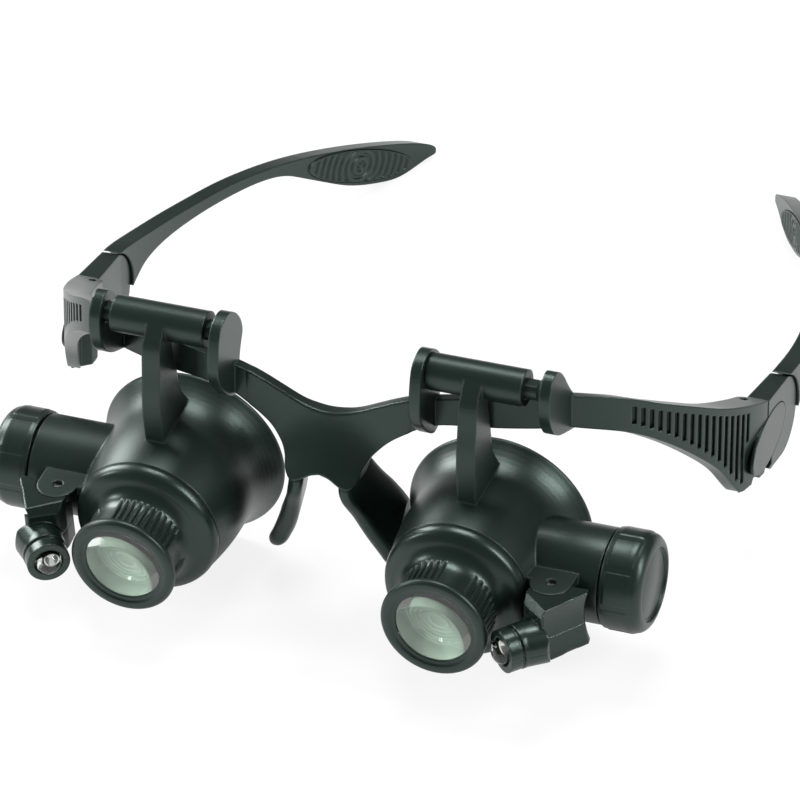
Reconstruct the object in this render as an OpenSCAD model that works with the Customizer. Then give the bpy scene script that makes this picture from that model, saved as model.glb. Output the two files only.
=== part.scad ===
// Binocular head magnifier: a glasses-style front frame that carries two flip-up,
// sliding magnifier pods, each with a twist-in lens unit, a coin-cell tube and a swivelling lamp.
// Worn frame: +X to the wearer's left, +Y to the back of the head, +Z up, zero on the rod line.

/* [Hinge rods and ears] */
// From the middle to the inner face of the inner ears
ear_in = 20.85; // [19.5:0.05:22]
// From the middle to the inner face of the outer ears
ear_out = 43.15; // [42:0.05:45]
// Thickness of an ear
ear_t = 2.1; // [1.8:0.1:2.6]
// Radius of a hinge rod
rod_r = 1.9; // [1.6:0.1:2.1]
// How deep a rod sits in each ear
rod_seat = 1.3; // [0.8:0.1:1.5]
// Depth of the flat that keys the pod to its rod
rod_flat = 0.4; // [0.2:0.05:0.6]
// Length of the tapered shoulder at one end of a rod
rod_cone = 1.1; // [0.6:0.1:1.2]

/* [Front frame] */
// Thickness of the bridge and the bar
bar_t = 2.4; // [2:0.1:3]
// From the middle to the outer face of the frame at the fold
frame_half = 70.2; // [69.6:0.1:72]
// From the rod line back to the fold
fold_y = 47.6; // [46:0.1:50]
// Width of the flange inside the end of the frame
flange_w = 5.7; // [4.6:0.1:6.2]
// Thickness of the flange inside the end of the frame
flange_t = 1.5; // [1.2:0.1:2.2]
// Pitch of the grip slots in the bar
slot_pitch = 1.75; // [1.5:0.05:2.2]
// Width of a grip slot
slot_w = 1; // [0.6:0.05:1.1]
// Depth of a grip slot
slot_deep = 0.8; // [0.3:0.05:1.1]
// Number of grip slots on each side
slot_count = 17; // [6:1:17]
// Thickness of a nose pad
pad_t = 1.9; // [1.4:0.1:2.4]

/* [Pods] */
// How far the right pod sits outward from the middle of its rod
right_slide = 0.1; // [-0.6:0.1:1.6]
// How far the left pod sits outward from the middle of its rod
left_slide = -1.7; // [-1.8:0.1:0.6]
// Nose-down pitch of the right pod
right_pitch = 10.4; // [0:0.1:16]
// Nose-down pitch of the left pod
left_pitch = 6.9; // [0:0.1:16]
// From the rod line down to the lens axis
pod_drop = 36.6; // [35:0.1:39]
// Length of the knuckle that slides on the rod
knuckle_len = 18.5; // [16:0.1:18.6]
// Outer radius of the knuckle
knuckle_r = 3.5; // [3.1:0.1:3.8]
// Thickness of the hanger arm
hanger_t = 3.6; // [2.8:0.1:4.4]
// From the lens axis to the front of the bell, ahead of the rod
bell_front = 14.5; // [13:0.1:15.5]
// From the lens axis to the rear rim of the bell, behind the rod
bell_back = 8.1; // [7:0.1:9]
// Outer radius of the bell at its front
bell_front_r = 14; // [13.6:0.1:14.6]
// Outer radius of the bell at its middle
bell_mid_r = 15.2; // [15:0.1:15.8]
// Outer radius of the bell at its rear rim
bell_back_r = 18.2; // [17:0.1:19.5]
// Wall of the bell
bell_wall = 1.4; // [1:0.1:1.8]

/* [Lens units] */
// Radius of the spigot that twists into the bell
spigot_r = 12.3; // [11.6:0.1:12.4]
// Length of the spigot
spigot_len = 3; // [2:0.1:4]
// Radius of the lens barrel
barrel_r = 8.9; // [8.6:0.1:9.2]
// From the rod plane to the front of the lens barrel
barrel_front = 26.2; // [25:0.1:27]
// Radius of the rim ring
rim_r = 10.3; // [9.9:0.1:10.6]
// Width of the rim ring
rim_w = 1.9; // [1.6:0.1:2.4]
// Radius of the glass
glass_r = 8; // [7.4:0.1:8.2]
// Thickness of the glass at its edge
glass_edge = 1; // [0.6:0.1:1.4]
// How far each face of the glass bulges
glass_bulge = 0.7; // [0.3:0.1:1]
// Number of ribs in each of the three grip groups on the barrel
barrel_ribs = 11; // [5:1:12]
// Angle at which the right lens unit is twisted in, to the middle of its upper grip group
right_lens_turn = 115.5; // [80:0.5:135]
// Angle at which the left lens unit is twisted in, to the middle of its upper grip group
left_lens_turn = 131; // [80:0.5:135]

/* [Battery tubes] */
// Outer radius of the battery tube
tube_r = 9.1; // [8.9:0.1:9.4]
// Bore radius of the battery tube
tube_bore_r = 8.3; // [8.1:0.05:8.4]
// How far the tube axis lies ahead of the rod plane
tube_fwd = 2.8; // [2:0.1:3.6]
// From the lens axis to the open end of the tube
tube_end = 25.8; // [25:0.1:28]
// From the lens axis to the floor of the battery bore
tube_floor = 15.8; // [15.5:0.1:16.5]
// Outer radius of the battery cap
cap_r = 9.5; // [9.3:0.1:9.8]
// Length of the battery cap outside the tube
cap_len = 8; // [6:0.1:9]
// Number of grip panels round the cap
cap_grips = 8; // [5:1:10]
// Radius of a coin cell
cell_r = 8; // [7.6:0.1:8]
// Thickness of a coin cell
cell_t = 2; // [1.6:0.1:2.4]

/* [Lamps] */
// Sideways place of the lamp pivot, from the lens axis
pivot_x = 18.2; // [17.8:0.1:19]
// Height of the top of the lamp tab above the lens axis
tab_top = 5.1; // [4.6:0.1:5.6]
// Thickness of the lamp tab
tab_t = 1.7; // [1.4:0.1:2]
// Radius of the round front of the lamp tab
tab_r = 3.9; // [3.5:0.1:4.2]
// Radius of the lamp pivot pin
lamp_pin_r = 0.9; // [0.7:0.05:1.1]
// Inward turn of the right lamp
right_lamp_turn = 36; // [30:1:40]
// Inward turn of the left lamp
left_lamp_turn = 41; // [30:1:42]
// Height of the parting line between the lamp halves, below the lens axis
lamp_split = 2; // [1.4:0.1:2.6]
// Radius of the lamp nose
nose_r = 4.1; // [3.8:0.1:4.3]
// From the pivot to the front of the lamp nose
nose_reach = 13.5; // [12.8:0.1:14.2]
// Depth of the lamp below its parting line
lamp_below = 4.2; // [4.2:0.1:4.8]
// Radius of the light-emitting diode
led_r = 2.5; // [2.2:0.1:2.6]

/* [Temples] */
// Thickness of the folding knuckle
fold_t = 4.2; // [4:0.1:4.6]
// Radius of the round rear end of the folding knuckle
tilt_r = 7.9; // [7.5:0.1:8.2]
// From the rod line back to the tilt axis
tilt_y = 56.8; // [56:0.1:58]
// From the rod line down to the tilt axis
tilt_z = 28.6; // [28.2:0.1:29.2]
// How much thinner the folding knuckle is where it meets the arm
fold_taper = 0.75; // [0.3:0.05:0.8]
// Radius of the fold pin
fold_pin_r = 0.8; // [0.7:0.05:0.9]
// Radius of the tilt pin
tilt_pin_r = 1.1; // [0.8:0.05:1.3]
// Thickness of the tongue on the temple arm
tongue_t = 1; // [0.8:0.1:1]
// Thickness of the temple arm
arm_t = 3.1; // [2.8:0.1:3.6]
// How far the right arm bows outward, against its relaxed line
right_bow = 0; // [-1:0.5:4]
// How far the left arm bows outward, against its relaxed line
left_bow = 3.5; // [-1:0.5:4]
// How far the left arm is tilted up, against the right arm
left_lift = 1.4; // [0:0.1:2]
// From the rod line back to the end of the temple arm
arm_end = 152.5; // [148:0.5:156]
// Half the length of the oval grip pad
grip_half = 14; // [11:0.5:14.5]
// Half the height of the oval grip pad
grip_high = 3.5; // [2.8:0.1:3.8]
// How far the grip pad stands proud of the arm
grip_proud = 0.35; // [0.2:0.05:0.6]

/* [Fits] */
// Radial clearance of a pin or rod in its bore
run_fit = 0.05; // [0.03:0.01:0.08]
// Gap between two parts that turn or slide past each other
face_gap = 0.2; // [0.12:0.02:0.3]
// Gap at a visible seam
seam_gap = 0.35; // [0.25:0.05:0.45]

/* [Hidden] */
$fn = 96;
RIGHT = -1;
LEFT = 1;
far = 200;
// Lower than anything that hangs below the rod line
low_end = 60;
eps = 0.01;

// Curves

function bezier(p, t) = pow(1 - t, 3) * p[0] + 3 * pow(1 - t, 2) * t * p[1]
    + 3 * (1 - t) * t * t * p[2] + pow(t, 3) * p[3];
function bezier_line(p, n) = [for (i = [0:n]) bezier(p, i / n)];
function knot(p, i) = p[max(0, min(len(p) - 1, i))];
function smooth_point(a, b, c, d, t) = 0.5 * (2 * b + (c - a) * t
    + (2 * a - 5 * b + 4 * c - d) * t * t + (3 * b - a - 3 * c + d) * t * t * t);
// A smooth line through the points, n steps from each point to the next
function smooth(p, n) = [for (i = [0:len(p) - 2], k = [0:n - 1])
        smooth_point(knot(p, i - 1), p[i], p[i + 1], knot(p, i + 2), k / n), p[len(p) - 1]];
function turn_left(v) = [-v[1], v[0]] / norm(v);
// A line moved sideways, to its left, by one distance for each point
function beside(p, d) = [for (i = [0:len(p) - 1]) p[i] + d[i] * turn_left(knot(p, i + 1) - knot(p, i - 1))];
function backwards(p) = [for (i = [len(p) - 1:-1:0]) p[i]];
function flip_x(p) = [for (q = p) [-q[0], q[1]]];
function ease(t) = let (u = max(0, min(1, t))) u * u * (3 - 2 * u);
function ring_points(r, from, to, n) = [for (i = [0:n]) r * [cos(from + (to - from) * i / n),
        sin(from + (to - from) * i / n)]];
function oval(a, b, n) = [for (i = [0:n - 1]) [a * cos(360 * i / n), b * sin(360 * i / n)]];
function moved(p, v) = [for (q = p) q + v];
function turned(p, a) = [for (q = p) [q[0] * cos(a) - q[1] * sin(a), q[0] * sin(a) + q[1] * cos(a)]];

// Directions: a flat shape drawn as (y, z), as (x, z), and round bodies along x and y

module side_plate(t) {
    rotate([90, 0, 90]) linear_extrude(t) children();
}

module front_plate(t) {
    rotate([90, 0, 0]) linear_extrude(t) children();
}

module along_x() {
    rotate([0, 90, 0]) children();
}

module along_y() {
    rotate([-90, 0, 0]) children();
}

// Resting pose: the lowest rear rim of the pods and the end of the right temple stand on one plane

tip_low_y = arm_end - 9;
tip_low_z = 38.2;
low_pitch = min(left_pitch, right_pitch);
pod_low = bell_back_r + pod_drop;
rest_tilt = atan((pod_low * cos(low_pitch) - bell_back * sin(low_pitch) - tip_low_z)
    / (tip_low_y - pod_low * sin(low_pitch) - bell_back * cos(low_pitch)));
rest_height = pod_low * cos(low_pitch - rest_tilt) - bell_back * sin(low_pitch - rest_tilt);
// From the rod line back to the middle of the footprint
foot_mid = 58.5;

module on_table() {
    translate([0, -foot_mid, rest_height]) rotate([-rest_tilt, 0, 0]) children();
}

module on_side(s) {
    on_table() mirror([s < 0 ? 1 : 0, 0, 0]) children();
}

// Pod frame: +x outward, +y back and +z up from the lens axis

rod_mid = (ear_in + ear_out) / 2;
function pod_x(s) = rod_mid + (s < 0 ? right_slide : left_slide);
function pod_pitch(s) = s < 0 ? right_pitch : left_pitch;
function lamp_turn(s) = s < 0 ? right_lamp_turn : left_lamp_turn;

module on_pod(s) {
    on_side(s) translate([pod_x(s), 0, 0]) rotate([pod_pitch(s), 0, 0]) translate([0, 0, -pod_drop])
        children();
}

// Lamp frame: zero on the pivot at the parting line, the lamp pointing along -y

pivot_y = -(tube_fwd + tube_r + 2.5);

module on_lamp(s) {
    on_pod(s) translate([pivot_x, pivot_y, -lamp_split]) rotate([0, 0, -lamp_turn(s)]) children();
}

// Front frame

bar_x = ear_out + ear_t;
bar_y = 8.3;
bend_pulls = [[bar_x, bar_y], [bar_x + 15.4, bar_y + 5.6],
    [frame_half - 0.7, fold_y - 12.4], [frame_half, fold_y]];
bend = bezier_line(bend_pulls, 40);
function brow_y(x) = x < 20 ? 1.5 + 0.8 * pow(x / 20, 2)
    : 2.3 + (bar_y - 2.3) * pow((x - 20) / (bar_x - 20), 2);
brow = [for (i = [0:24]) let (x = bar_x * i / 24) [x, brow_y(x)]];
end_low = -35.4;
// Upper and lower edges of the bend, seen from the side as (y, z)
bend_top = smooth([[bar_y - 3, -4.3], [bar_y, -4.7], [13.3, -5.9], [19.3, -9], [25.6, -12],
    [33.5, -15.7], [fold_y - 4, -19.2], [fold_y, -20.4]], 5);
bend_low = smooth([[bar_y - 3, -10.9], [bar_y, -11.1], [13.9, -13.2], [19.5, -17], [25.9, -22.4],
    [31.8, -28], [36.2, -33.6], [38.2, -35.4], [41, end_low]], 5);
// Upper and lower edges of the brow, seen from the front as (x, z)
brow_top = smooth([[-3, -13.3], [0, -13.5], [3, -13.2], [6, -12.4], [9.5, -10.9], [13, -9.4], [16.5, -8.2],
    [21, -7.2], [30, -5.8], [bar_x, -4.7]], 5);
brow_low = smooth([[bar_x, -11.2], [34, -11.5], [24, -12], [19.5, -13.1], [16.3, -14.7], [13.5, -16.4],
    [11.3, -18.1], [9.6, -19.8], [8.3, -21.4], [7.5, -23.1],
    [7.2, -24.6]], 4);
arch = smooth([[4.4, -26.2], [3.2, -25.8], [1.8, -25], [0, -24.5]], 5);
top_half = [for (q = brow_top) if (q[0] >= 0) q];

module half_brow_outline() {
    polygon(concat(top_half, brow_low, arch));
}

module brow_outline() {
    half_brow_outline();
    mirror([1, 0]) half_brow_outline();
}

// Below this line the keel takes over from the wall of the brow
keel_join = smooth([[0.01, -17], [4, -17.4], [7, -19], [9, -21.5], [10, -26]], 4);

module half_brow_plan() {
    polygon(concat(brow, backwards(beside(brow, [for (q = brow) bar_t]))));
}

module brow_bar() {
    intersection() {
        translate([0, far / 2, 0]) front_plate(far) difference() {
            brow_outline();
            polygon(concat(keel_join, backwards(flip_x(keel_join)), [[0, -40]]));
        }
        translate([0, 0, -22]) linear_extrude(22) {
            half_brow_plan();
            mirror([1, 0]) half_brow_plan();
        }
    }
}

// The keel between the eyes leans forward as it goes down to the nose arch
keel_lean = 25;
keel_top = -14;

module keel() {
    front = [for (i = [-10:10]) [i * 0.98, 4.6 * pow(i / 10, 2)]];
    intersection() {
        translate([0, far / 2, 0]) front_plate(far) brow_outline();
        translate([0, brow_y(0) + 0.6, keel_top]) rotate([-keel_lean, 0, 0]) translate([0, 0, -22])
            linear_extrude(22) polygon(concat(front, backwards(moved(front, [0, bar_t]))));
    }
}

// Nose pads: leaves that run down and outward from the arch, and back from their front edge
pad_splay = 14.5;
// Room between a nose pad and the rear rim of a bell that swings past it
pad_room = 0.4;
pad_end = [11.6, -44.6];
pad_outer = smooth([[6.1, -22.5], [6.4, -25.2], [6.8, -28.6], [7.5, -32.6], [8.7, -37], [10.3, -41.5],
    pad_end], 4);
// A nose pad swells toward its round low end
pad_swell = 0.9;
function pad_thick(z) = pad_t + 0.3 + pad_swell * ease((-30 - z) / 12);
pad_inner = [for (q = pad_outer) q - [pad_thick(q[1]), 0]];
pad_end_r = pad_thick(pad_end[1]) / 2;
pad_leaf = concat(pad_outer, moved(ring_points(pad_end_r, 0, -180, 12), pad_end - [pad_end_r, 0]),
    backwards(pad_inner));
pad_side = smooth([[0.4, -22.8], [-1.2, -25.4], [-0.6, -27.4], [1.2, -30], [2.4, -34], [3.5, -39],
    [4.9, -43.4], [6.6, -45.8], [8.8, -46.2], [10.6, -44.2], [12.7, -41], [13.6, -37.4],
    [12.5, -34.2], [10.2, -30.6], [7.6, -27.4], [5.4, -24.4], [4, -22.2]], 4);

module nose_pad() {
    difference() {
        intersection() {
            rotate([0, 0, -pad_splay]) translate([0, far / 4, 0]) front_plate(far / 3) polygon(pad_leaf);
            side_plate(far) polygon(pad_side);
        }
        translate([rod_mid + min(left_slide, right_slide), 0, -pod_drop])
            along_y() cylinder(h = far, r = bell_back_r + pad_room);
    }
}

bend_in = [for (q = bend) bar_t];
function flange_at(y) = 0.7 * ease((y - 10) / 9) + 0.3 * ease((y - 19) / 20);
bend_upper = [for (q = bend) bar_t + (flange_w - bar_t) * flange_at(q[1])];

module bend_wall(depths) {
    translate([0, 0, -low_end]) linear_extrude(low_end)
        polygon(concat(bend, backwards(beside(bend, depths))));
}

module bend_outline() {
    polygon(concat(bend_top, [[fold_y, end_low + 1.4], [fold_y - 0.9, end_low]], [[fold_y - 3, end_low],
        [fold_y - 3.6, end_low + 1.1], [fold_y - 5.4, end_low + 1.1], [fold_y - 6, end_low]],
        backwards(bend_low)));
}

// Flange along the upper edge, rounded about the fold pin at its inner rear corner
module end_flange() {
    difference() {
        intersection() {
            bend_wall(bend_upper);
            side_plate(far) intersection() {
                polygon(concat(bend_top, backwards(moved(bend_top, [0, -flange_t]))));
                bend_outline();
            }
        }
        translate([0, 0, -far / 2]) linear_extrude(far) difference() {
            translate([fold_x - far, fold_pin_y]) square([far, far]);
            translate([fold_x, fold_pin_y]) circle(r = lug_r);
        }
    }
}

block_top_z = -28.7;
block_in = frame_half - 5.3;
block_out = frame_half - 2.2;

// Block under the end of the frame, its face turned a little toward the nose
module end_block() {
    intersection() {
        translate([0, 0, -low_end]) linear_extrude(low_end) polygon([[block_out, fold_y - 9.2],
            [block_in, fold_y - 6.2], [block_in - 0.4, fold_y - 4.4], [block_out, fold_y - 4.2]]);
        translate([0, far / 2, 0]) front_plate(far) polygon(concat([[block_out, end_low - 0.5],
            [block_in, end_low - 0.5], [block_in - 0.4, end_low + 0.4]],
            moved(ring_points(2.2, 180, 90, 6), [block_in + 1.8, block_top_z - 2.2]),
            [[block_out, block_top_z]]));
    }
}

slot_first = 0.24;
// Past this share of the bend the slots stop short above the smooth oval
slot_short = 0.79;
bend_len = 49;

module grip_slots() {
    for (i = [0:slot_count - 1]) {
        t = slot_first + slot_pitch / bend_len * i;
        at = bezier(bend_pulls, t);
        dir = bezier(bend_pulls, t + 0.01) - bezier(bend_pulls, t - 0.01);
        high = lookup(at[1], bend_top) - 1.5;
        full = max(lookup(at[1], bend_low) + 1.9, end_low + 1);
        low = t > slot_short ? max(full, high - 6.4 + 16 * (t - slot_short)) : full;
        translate([at[0], at[1], low]) rotate([0, 0, atan2(dir[1], dir[0])])
            translate([-slot_w / 2, -1, 0]) cube([slot_w, 1 + slot_deep, high - low]);
    }
}

// Fold hinge: two lugs on the frame, one tongue on the knuckle
fold_x = frame_half - 4;
fold_pin_y = fold_y - 2.2;
lug_r = fold_pin_r + 1.1;
lug_top = -20.5;
lug_low = -34.2;
lug_t = 2.6;
lug_gap = lug_top - lug_low - 2 * lug_t;

module fold_lugs() {
    for (z = [lug_top - lug_t, lug_low]) {
        translate([fold_x, fold_pin_y, z]) cylinder(h = lug_t, r = lug_r);
        translate([fold_x, fold_pin_y - lug_r, z]) cube([frame_half - 1 - fold_x, lug_r * 2, lug_t]);
    }
}

// Smooth oval on the outside of the frame's end, which runs back over the side of the knuckle
cover_mid = [48.6, -29];
cover_long = 9.4;
cover_high = 4.9;
cover_t = 0.5;
cover_proud = 0.15;

module cover_oval(grow) {
    polygon(moved(turned(oval(cover_long + grow, cover_high + grow, 64), 12), cover_mid));
}

module frame_end() {
    difference() {
        union() {
            difference() {
                intersection() {
                    bend_wall(bend_in);
                    side_plate(far) bend_outline();
                }
                grip_slots();
            }
            end_flange();
            end_block();
            fold_lugs();
            translate([frame_half - cover_t, 0, 0]) side_plate(cover_t + cover_proud) cover_oval(0);
        }
        translate([fold_x, fold_pin_y, lug_low - 1]) cylinder(h = far, r = fold_pin_r);
        // Groove beside the tongue of the knuckle
        translate([fold_x, fold_pin_y, lug_low + lug_t]) cylinder(h = lug_gap, r = lug_r + face_gap);
    }
}

ear_top = 4.1;
inner_ear = smooth([[4.6, -9.5], [4.9, -6.9], [5.6, -4.5], [6.4, -2.2], [5.5, 0.3], [3.4, 2.6],
    [0.6, ear_top], [-2.2, 3.8], [-4.4, 2.2], [-5.4, -1.4], [-5.5, -5.9], [-4, -9.4], [-0.6, -12.6],
    [2.2, -13.9], [4.3, -13.4]], 4);
outer_ear = smooth([[11.4, -6], [8.8, -4], [6.3, -1.3], [3.6, 2], [0.6, ear_top], [-2, 3.4], [-3.6, 1],
    [-3.8, -2], [-3, -5], [-1, -7.8], [2, -9.6], [6, -10.9], [11, -12.3]], 4);

module ears() {
    difference() {
        union() {
            translate([ear_in - ear_t, 0, 0]) side_plate(ear_t) polygon(inner_ear);
            translate([ear_out, 0, 0]) side_plate(ear_t) polygon(outer_ear);
        }
        rod_room = rod_r + run_fit;
        translate([ear_in - rod_seat, 0, 0]) along_x()
            cylinder(h = ear_out - ear_in + 2 * rod_seat, r = rod_room);
    }
}

module front_frame() {
    color("darkslategray") on_table() union() {
        brow_bar();
        keel();
        for (s = [RIGHT, LEFT]) mirror([s < 0 ? 1 : 0, 0, 0]) {
            ears();
            nose_pad();
            frame_end();
        }
    }
}

// Hinge rods: both go in the same way round, shoulder to the wearer's left

module hinge_rod(s) {
    journal = rod_seat - face_gap / 2;
    span = ear_out - ear_in;
    start = s < 0 ? -ear_out : ear_in;
    color("dimgray") on_table() rotate([pod_pitch(s), 0, 0]) difference() {
        union() {
            translate([start - journal, 0, 0]) along_x() cylinder(h = span + 2 * journal, r = rod_r);
            translate([start + span - face_gap / 2 - rod_cone, 0, 0]) along_x()
                cylinder(h = rod_cone, r1 = rod_r, r2 = rod_r + 1);
        }
        translate([start, -rod_r, rod_r - rod_flat])
            cube([span - face_gap / 2 - rod_cone, 2 * rod_r, 2]);
    }
}

// Pod shell: bell, hanger arm, knuckle, battery tube and lamp tab in one moulding

function bell_r(y) = let (u = (y + bell_front) / (bell_front + bell_back))
    bell_front_r + (bell_mid_r - bell_front_r) * sin(90 * min(1, u / 0.5))
    + (bell_back_r - bell_mid_r) * pow(max(0, (u - 0.62) / 0.38), 2.2);
bell_line = [for (i = [0:24]) let (y = -bell_front + (bell_front + bell_back) * i / 24) [bell_r(y), y]];
socket_deep = spigot_len + face_gap;
hanger_front = smooth([[-2.6, pod_drop + 2.2], [-4.4, pod_drop + 0.2], [-6.2, pod_drop - 2.4], [-7.3, 29.3],
    [-8.3, 25], [-8.7, 20], [-8.6, 13.2]], 5);
hanger_rear = smooth([[5.4, 13.2], [4.4, 14.9], [2.3, 18.1], [0.8, 20.6], [0.4, 23.3], [0, 26.9],
    [-0.6, 30], [-0.8, pod_drop - 3]], 5);

module bell_hollow() {
    along_y() rotate_extrude() polygon(concat([[0, -bell_front + socket_deep]],
        [for (q = bell_line) if (q[1] >= -bell_front + socket_deep) [q[0] - bell_wall, q[1]]],
        [[bell_back_r - bell_wall * 0.6, bell_back + 1], [0, bell_back + 1]]));
}

module pod_solid() {
    along_y() rotate_extrude() polygon(concat([[0, -bell_front]], bell_line, [[0, bell_back]]));
    translate([-hanger_t / 2, 0, 0]) side_plate(hanger_t)
        polygon(concat(hanger_front, hanger_rear, [[0, pod_drop]]));
    translate([-knuckle_len / 2, 0, pod_drop]) along_x() cylinder(h = knuckle_len, r = knuckle_r);
    translate([8, -tube_fwd, 0]) along_x() cylinder(h = tube_end - 8, r = tube_r);
    translate([pivot_x, pivot_y, tab_top - tab_t]) cylinder(h = tab_t, r = tab_r);
    translate([pivot_x - tab_r - 1, pivot_y, tab_top - tab_t])
        cube([2 * tab_r + 1, -tube_fwd - pivot_y, tab_t]);
}

module pod_shell(s) {
    color("darkslategray") on_pod(s) difference() {
        pod_solid();
        bell_hollow();
        along_y() translate([0, 0, -bell_front - 1]) cylinder(h = socket_deep + 1, r = spigot_r + run_fit);
        along_y() translate([0, 0, -bell_front]) cylinder(h = bell_front, r = spigot_r - 1);
        translate([tube_floor, -tube_fwd, 0]) along_x() cylinder(h = far, r = tube_bore_r);
        translate([pivot_x, pivot_y, 0]) cylinder(h = far, r = lamp_pin_r + run_fit);
        // Keyed bore of the knuckle
        translate([-knuckle_len, 0, pod_drop]) difference() {
            along_x() cylinder(h = 2 * knuckle_len, r = rod_r + run_fit);
            translate([-1, -rod_r - 1, rod_r - rod_flat + run_fit])
                cube([2 * knuckle_len + 2, 2 * rod_r + 2, 2]);
        }
    }
}

// Lens unit: a dome that twists into the bell, a ribbed barrel, a rim ring and the glass

dome_front = smooth([[bell_front_r, -bell_front - face_gap / 2], [bell_front_r, -15.6],
    [bell_front_r - 0.7, -16.9],
    [bell_front_r - 2, -17.6], [bell_front_r - 3.3, -18.2], [barrel_r + 0.7, -19.4], [barrel_r, -21]], 5);
// Bore of the barrel, a little narrower than the glass that lies against its front
bore_r = glass_r - 0.2;
dome_inner = [[bore_r, -21], [bore_r + 1.1, -19], [spigot_r - 2.2, -17], [spigot_r - 1.2, -bell_front]];
rib_groups = 3;
rib_step = 8.1;
rib_wide = 0.7;
rib_proud = 0.45;
rib_len = 5;

module barrel_rib_set(s) {
    first = (s < 0 ? right_lens_turn : left_lens_turn) - (barrel_ribs - 1) / 2 * rib_step;
    for (g = [0:rib_groups - 1], k = [0:barrel_ribs - 1]) {
        rotate([0, -(first + g * 360 / rib_groups + k * rib_step), 0])
            translate([barrel_r - 0.5, -barrel_front + 0.4, -rib_wide / 2])
            cube([0.5 + rib_proud, rib_len, rib_wide]);
    }
}

module lens_housing(s) {
    spigot_end = -bell_front + spigot_len;
    color("darkslategray") on_pod(s) {
        along_y() rotate_extrude() polygon(concat([[spigot_r - 1.2, spigot_end],
            [spigot_r, spigot_end], [spigot_r, -bell_front - face_gap / 2]], dome_front,
            [[barrel_r, -barrel_front]], [[bore_r, -barrel_front]], dome_inner));
        barrel_rib_set(s);
    }
}

// Gap that keeps the bulge of the glass off the edge of the bore
glass_gap = 0.05;
seat_r = glass_r - 0.6;
// How far the front of the glass has risen where the seat of the rim ring meets it
seat_rise = glass_bulge * (1 - pow(seat_r / glass_r, 2));

module lens_rim(s) {
    back = -barrel_front - eps;
    front = -barrel_front - rim_w;
    seat = -barrel_front - glass_gap - glass_edge - seat_rise - eps;
    color("darkslategray") on_pod(s) along_y() rotate_extrude() polygon([[seat_r, front + 0.3],
        [glass_r - 0.3, front], [rim_r - 0.5, front], [rim_r, front + 0.5], [rim_r, back - 0.3],
        [rim_r - 0.3, back], [glass_r + run_fit, back], [glass_r + run_fit, seat], [seat_r, seat]]);
}

module objective_lens(s) {
    bulge_r = (glass_r * glass_r + glass_bulge * glass_bulge) / (2 * glass_bulge);
    middle = -barrel_front - glass_gap - glass_edge / 2;
    color("honeydew") on_pod(s) translate([0, middle, 0]) along_y() intersection() {
        translate([0, 0, bulge_r - glass_edge / 2 - glass_bulge]) sphere(r = bulge_r, $fn = 160);
        translate([0, 0, -bulge_r + glass_edge / 2 + glass_bulge]) sphere(r = bulge_r, $fn = 160);
        translate([0, 0, -2]) cylinder(h = 4, r = glass_r);
    }
}

// Battery tube contents and cap

cell_stack = 2 * cell_t;
contact_t = 0.4;
plug_r = tube_bore_r - run_fit;
plug_len = tube_end - tube_floor - contact_t - cell_stack - 1.8;
cap_start = tube_end + seam_gap;

module on_tube(s) {
    on_pod(s) translate([0, -tube_fwd, 0]) along_x() children();
}

module battery_contact(s) {
    color("goldenrod") on_tube(s) translate([0, 0, tube_floor]) {
        cylinder(h = contact_t, r = tube_bore_r - 0.6);
    }
}

module coin_cells(s) {
    color("silver") on_tube(s) for (k = [0, 1]) {
        translate([0, 0, tube_floor + contact_t + k * cell_t]) {
            cylinder(h = cell_t * 0.75, r = cell_r);
            translate([0, 0, cell_t * 0.75 - eps]) cylinder(h = cell_t * 0.25, r = cell_r - 1);
        }
    }
}

module cap_spring(s) {
    base = tube_floor + contact_t + cell_stack;
    color("silver") on_tube(s) translate([0, 0, base]) rotate_extrude() {
        height = tube_end - plug_len + 1.2 - base;
        polygon([[1.2, 0], [2, 0], [3.6, height], [2.8, height]]);
    }
}

module battery_cap(s) {
    color("darkslategray") on_tube(s) difference() {
        union() {
            translate([0, 0, tube_end - plug_len]) cylinder(h = plug_len + cap_len / 2, r = plug_r);
            translate([0, 0, cap_start]) rotate_extrude() polygon(concat([[0, 0], [cap_r, 0]],
                moved(ring_points(2.4, 0, 75, 6), [cap_r - 2.4, cap_len - 2.4]),
                [[cap_r - 2.8, cap_len - 0.5], [0, cap_len - 0.5]]));
            for (k = [0:cap_grips - 1]) {
                rotate([0, 0, (k + 0.5) * 360 / cap_grips]) intersection() {
                    translate([cap_r - 1, -2.4, cap_start + 0.9]) cube([1.35, 4.8, cap_len - 3.6]);
                    translate([0, 0, cap_start]) cylinder(h = cap_len, r = cap_r + 0.3);
                }
            }
        }
        translate([0, 0, tube_end - plug_len - 1]) cylinder(h = 2.2, r = plug_r - 1);
        translate([0, 0, tube_end - plug_len]) cylinder(h = plug_len - 1, r = 3);
    }
}

// Lamp: two half shells round a diode, with a flared finger grip behind

nose_y = -nose_reach;
nose_x = 5.4;
block_top = tab_top + lamp_split;
// Smallest and largest inward turn of a lamp over its travel
turn_least = 23;
turn_most = 42;
grip_line = smooth([[11, -7.6], [9.7, -6], [8.3, -4.2], [7, -1.8], [6.6, 0.6], [6.6, 2.4],
    [6.75, 3.6]], 4);
block_plan = concat([[1.9, -6.6], [7.2, -6.4], [8.5, -5.2]],
    [for (p = grip_line) if (p.y > -4.3) p], [[5.5, 4.7], [3.6, 3], [1.7, 1.9], [0.2, 2.2], [-1.4, 1.7],
    [-2.2, 0], [-2, -1.8], [-0.2, -4.8], [1.2, -6.4]]);
slope_y = -5.3;
slope_angle = 50;
scoop_r = 15.6;
scoop_z = (block_top - lamp_below) / 2;

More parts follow.
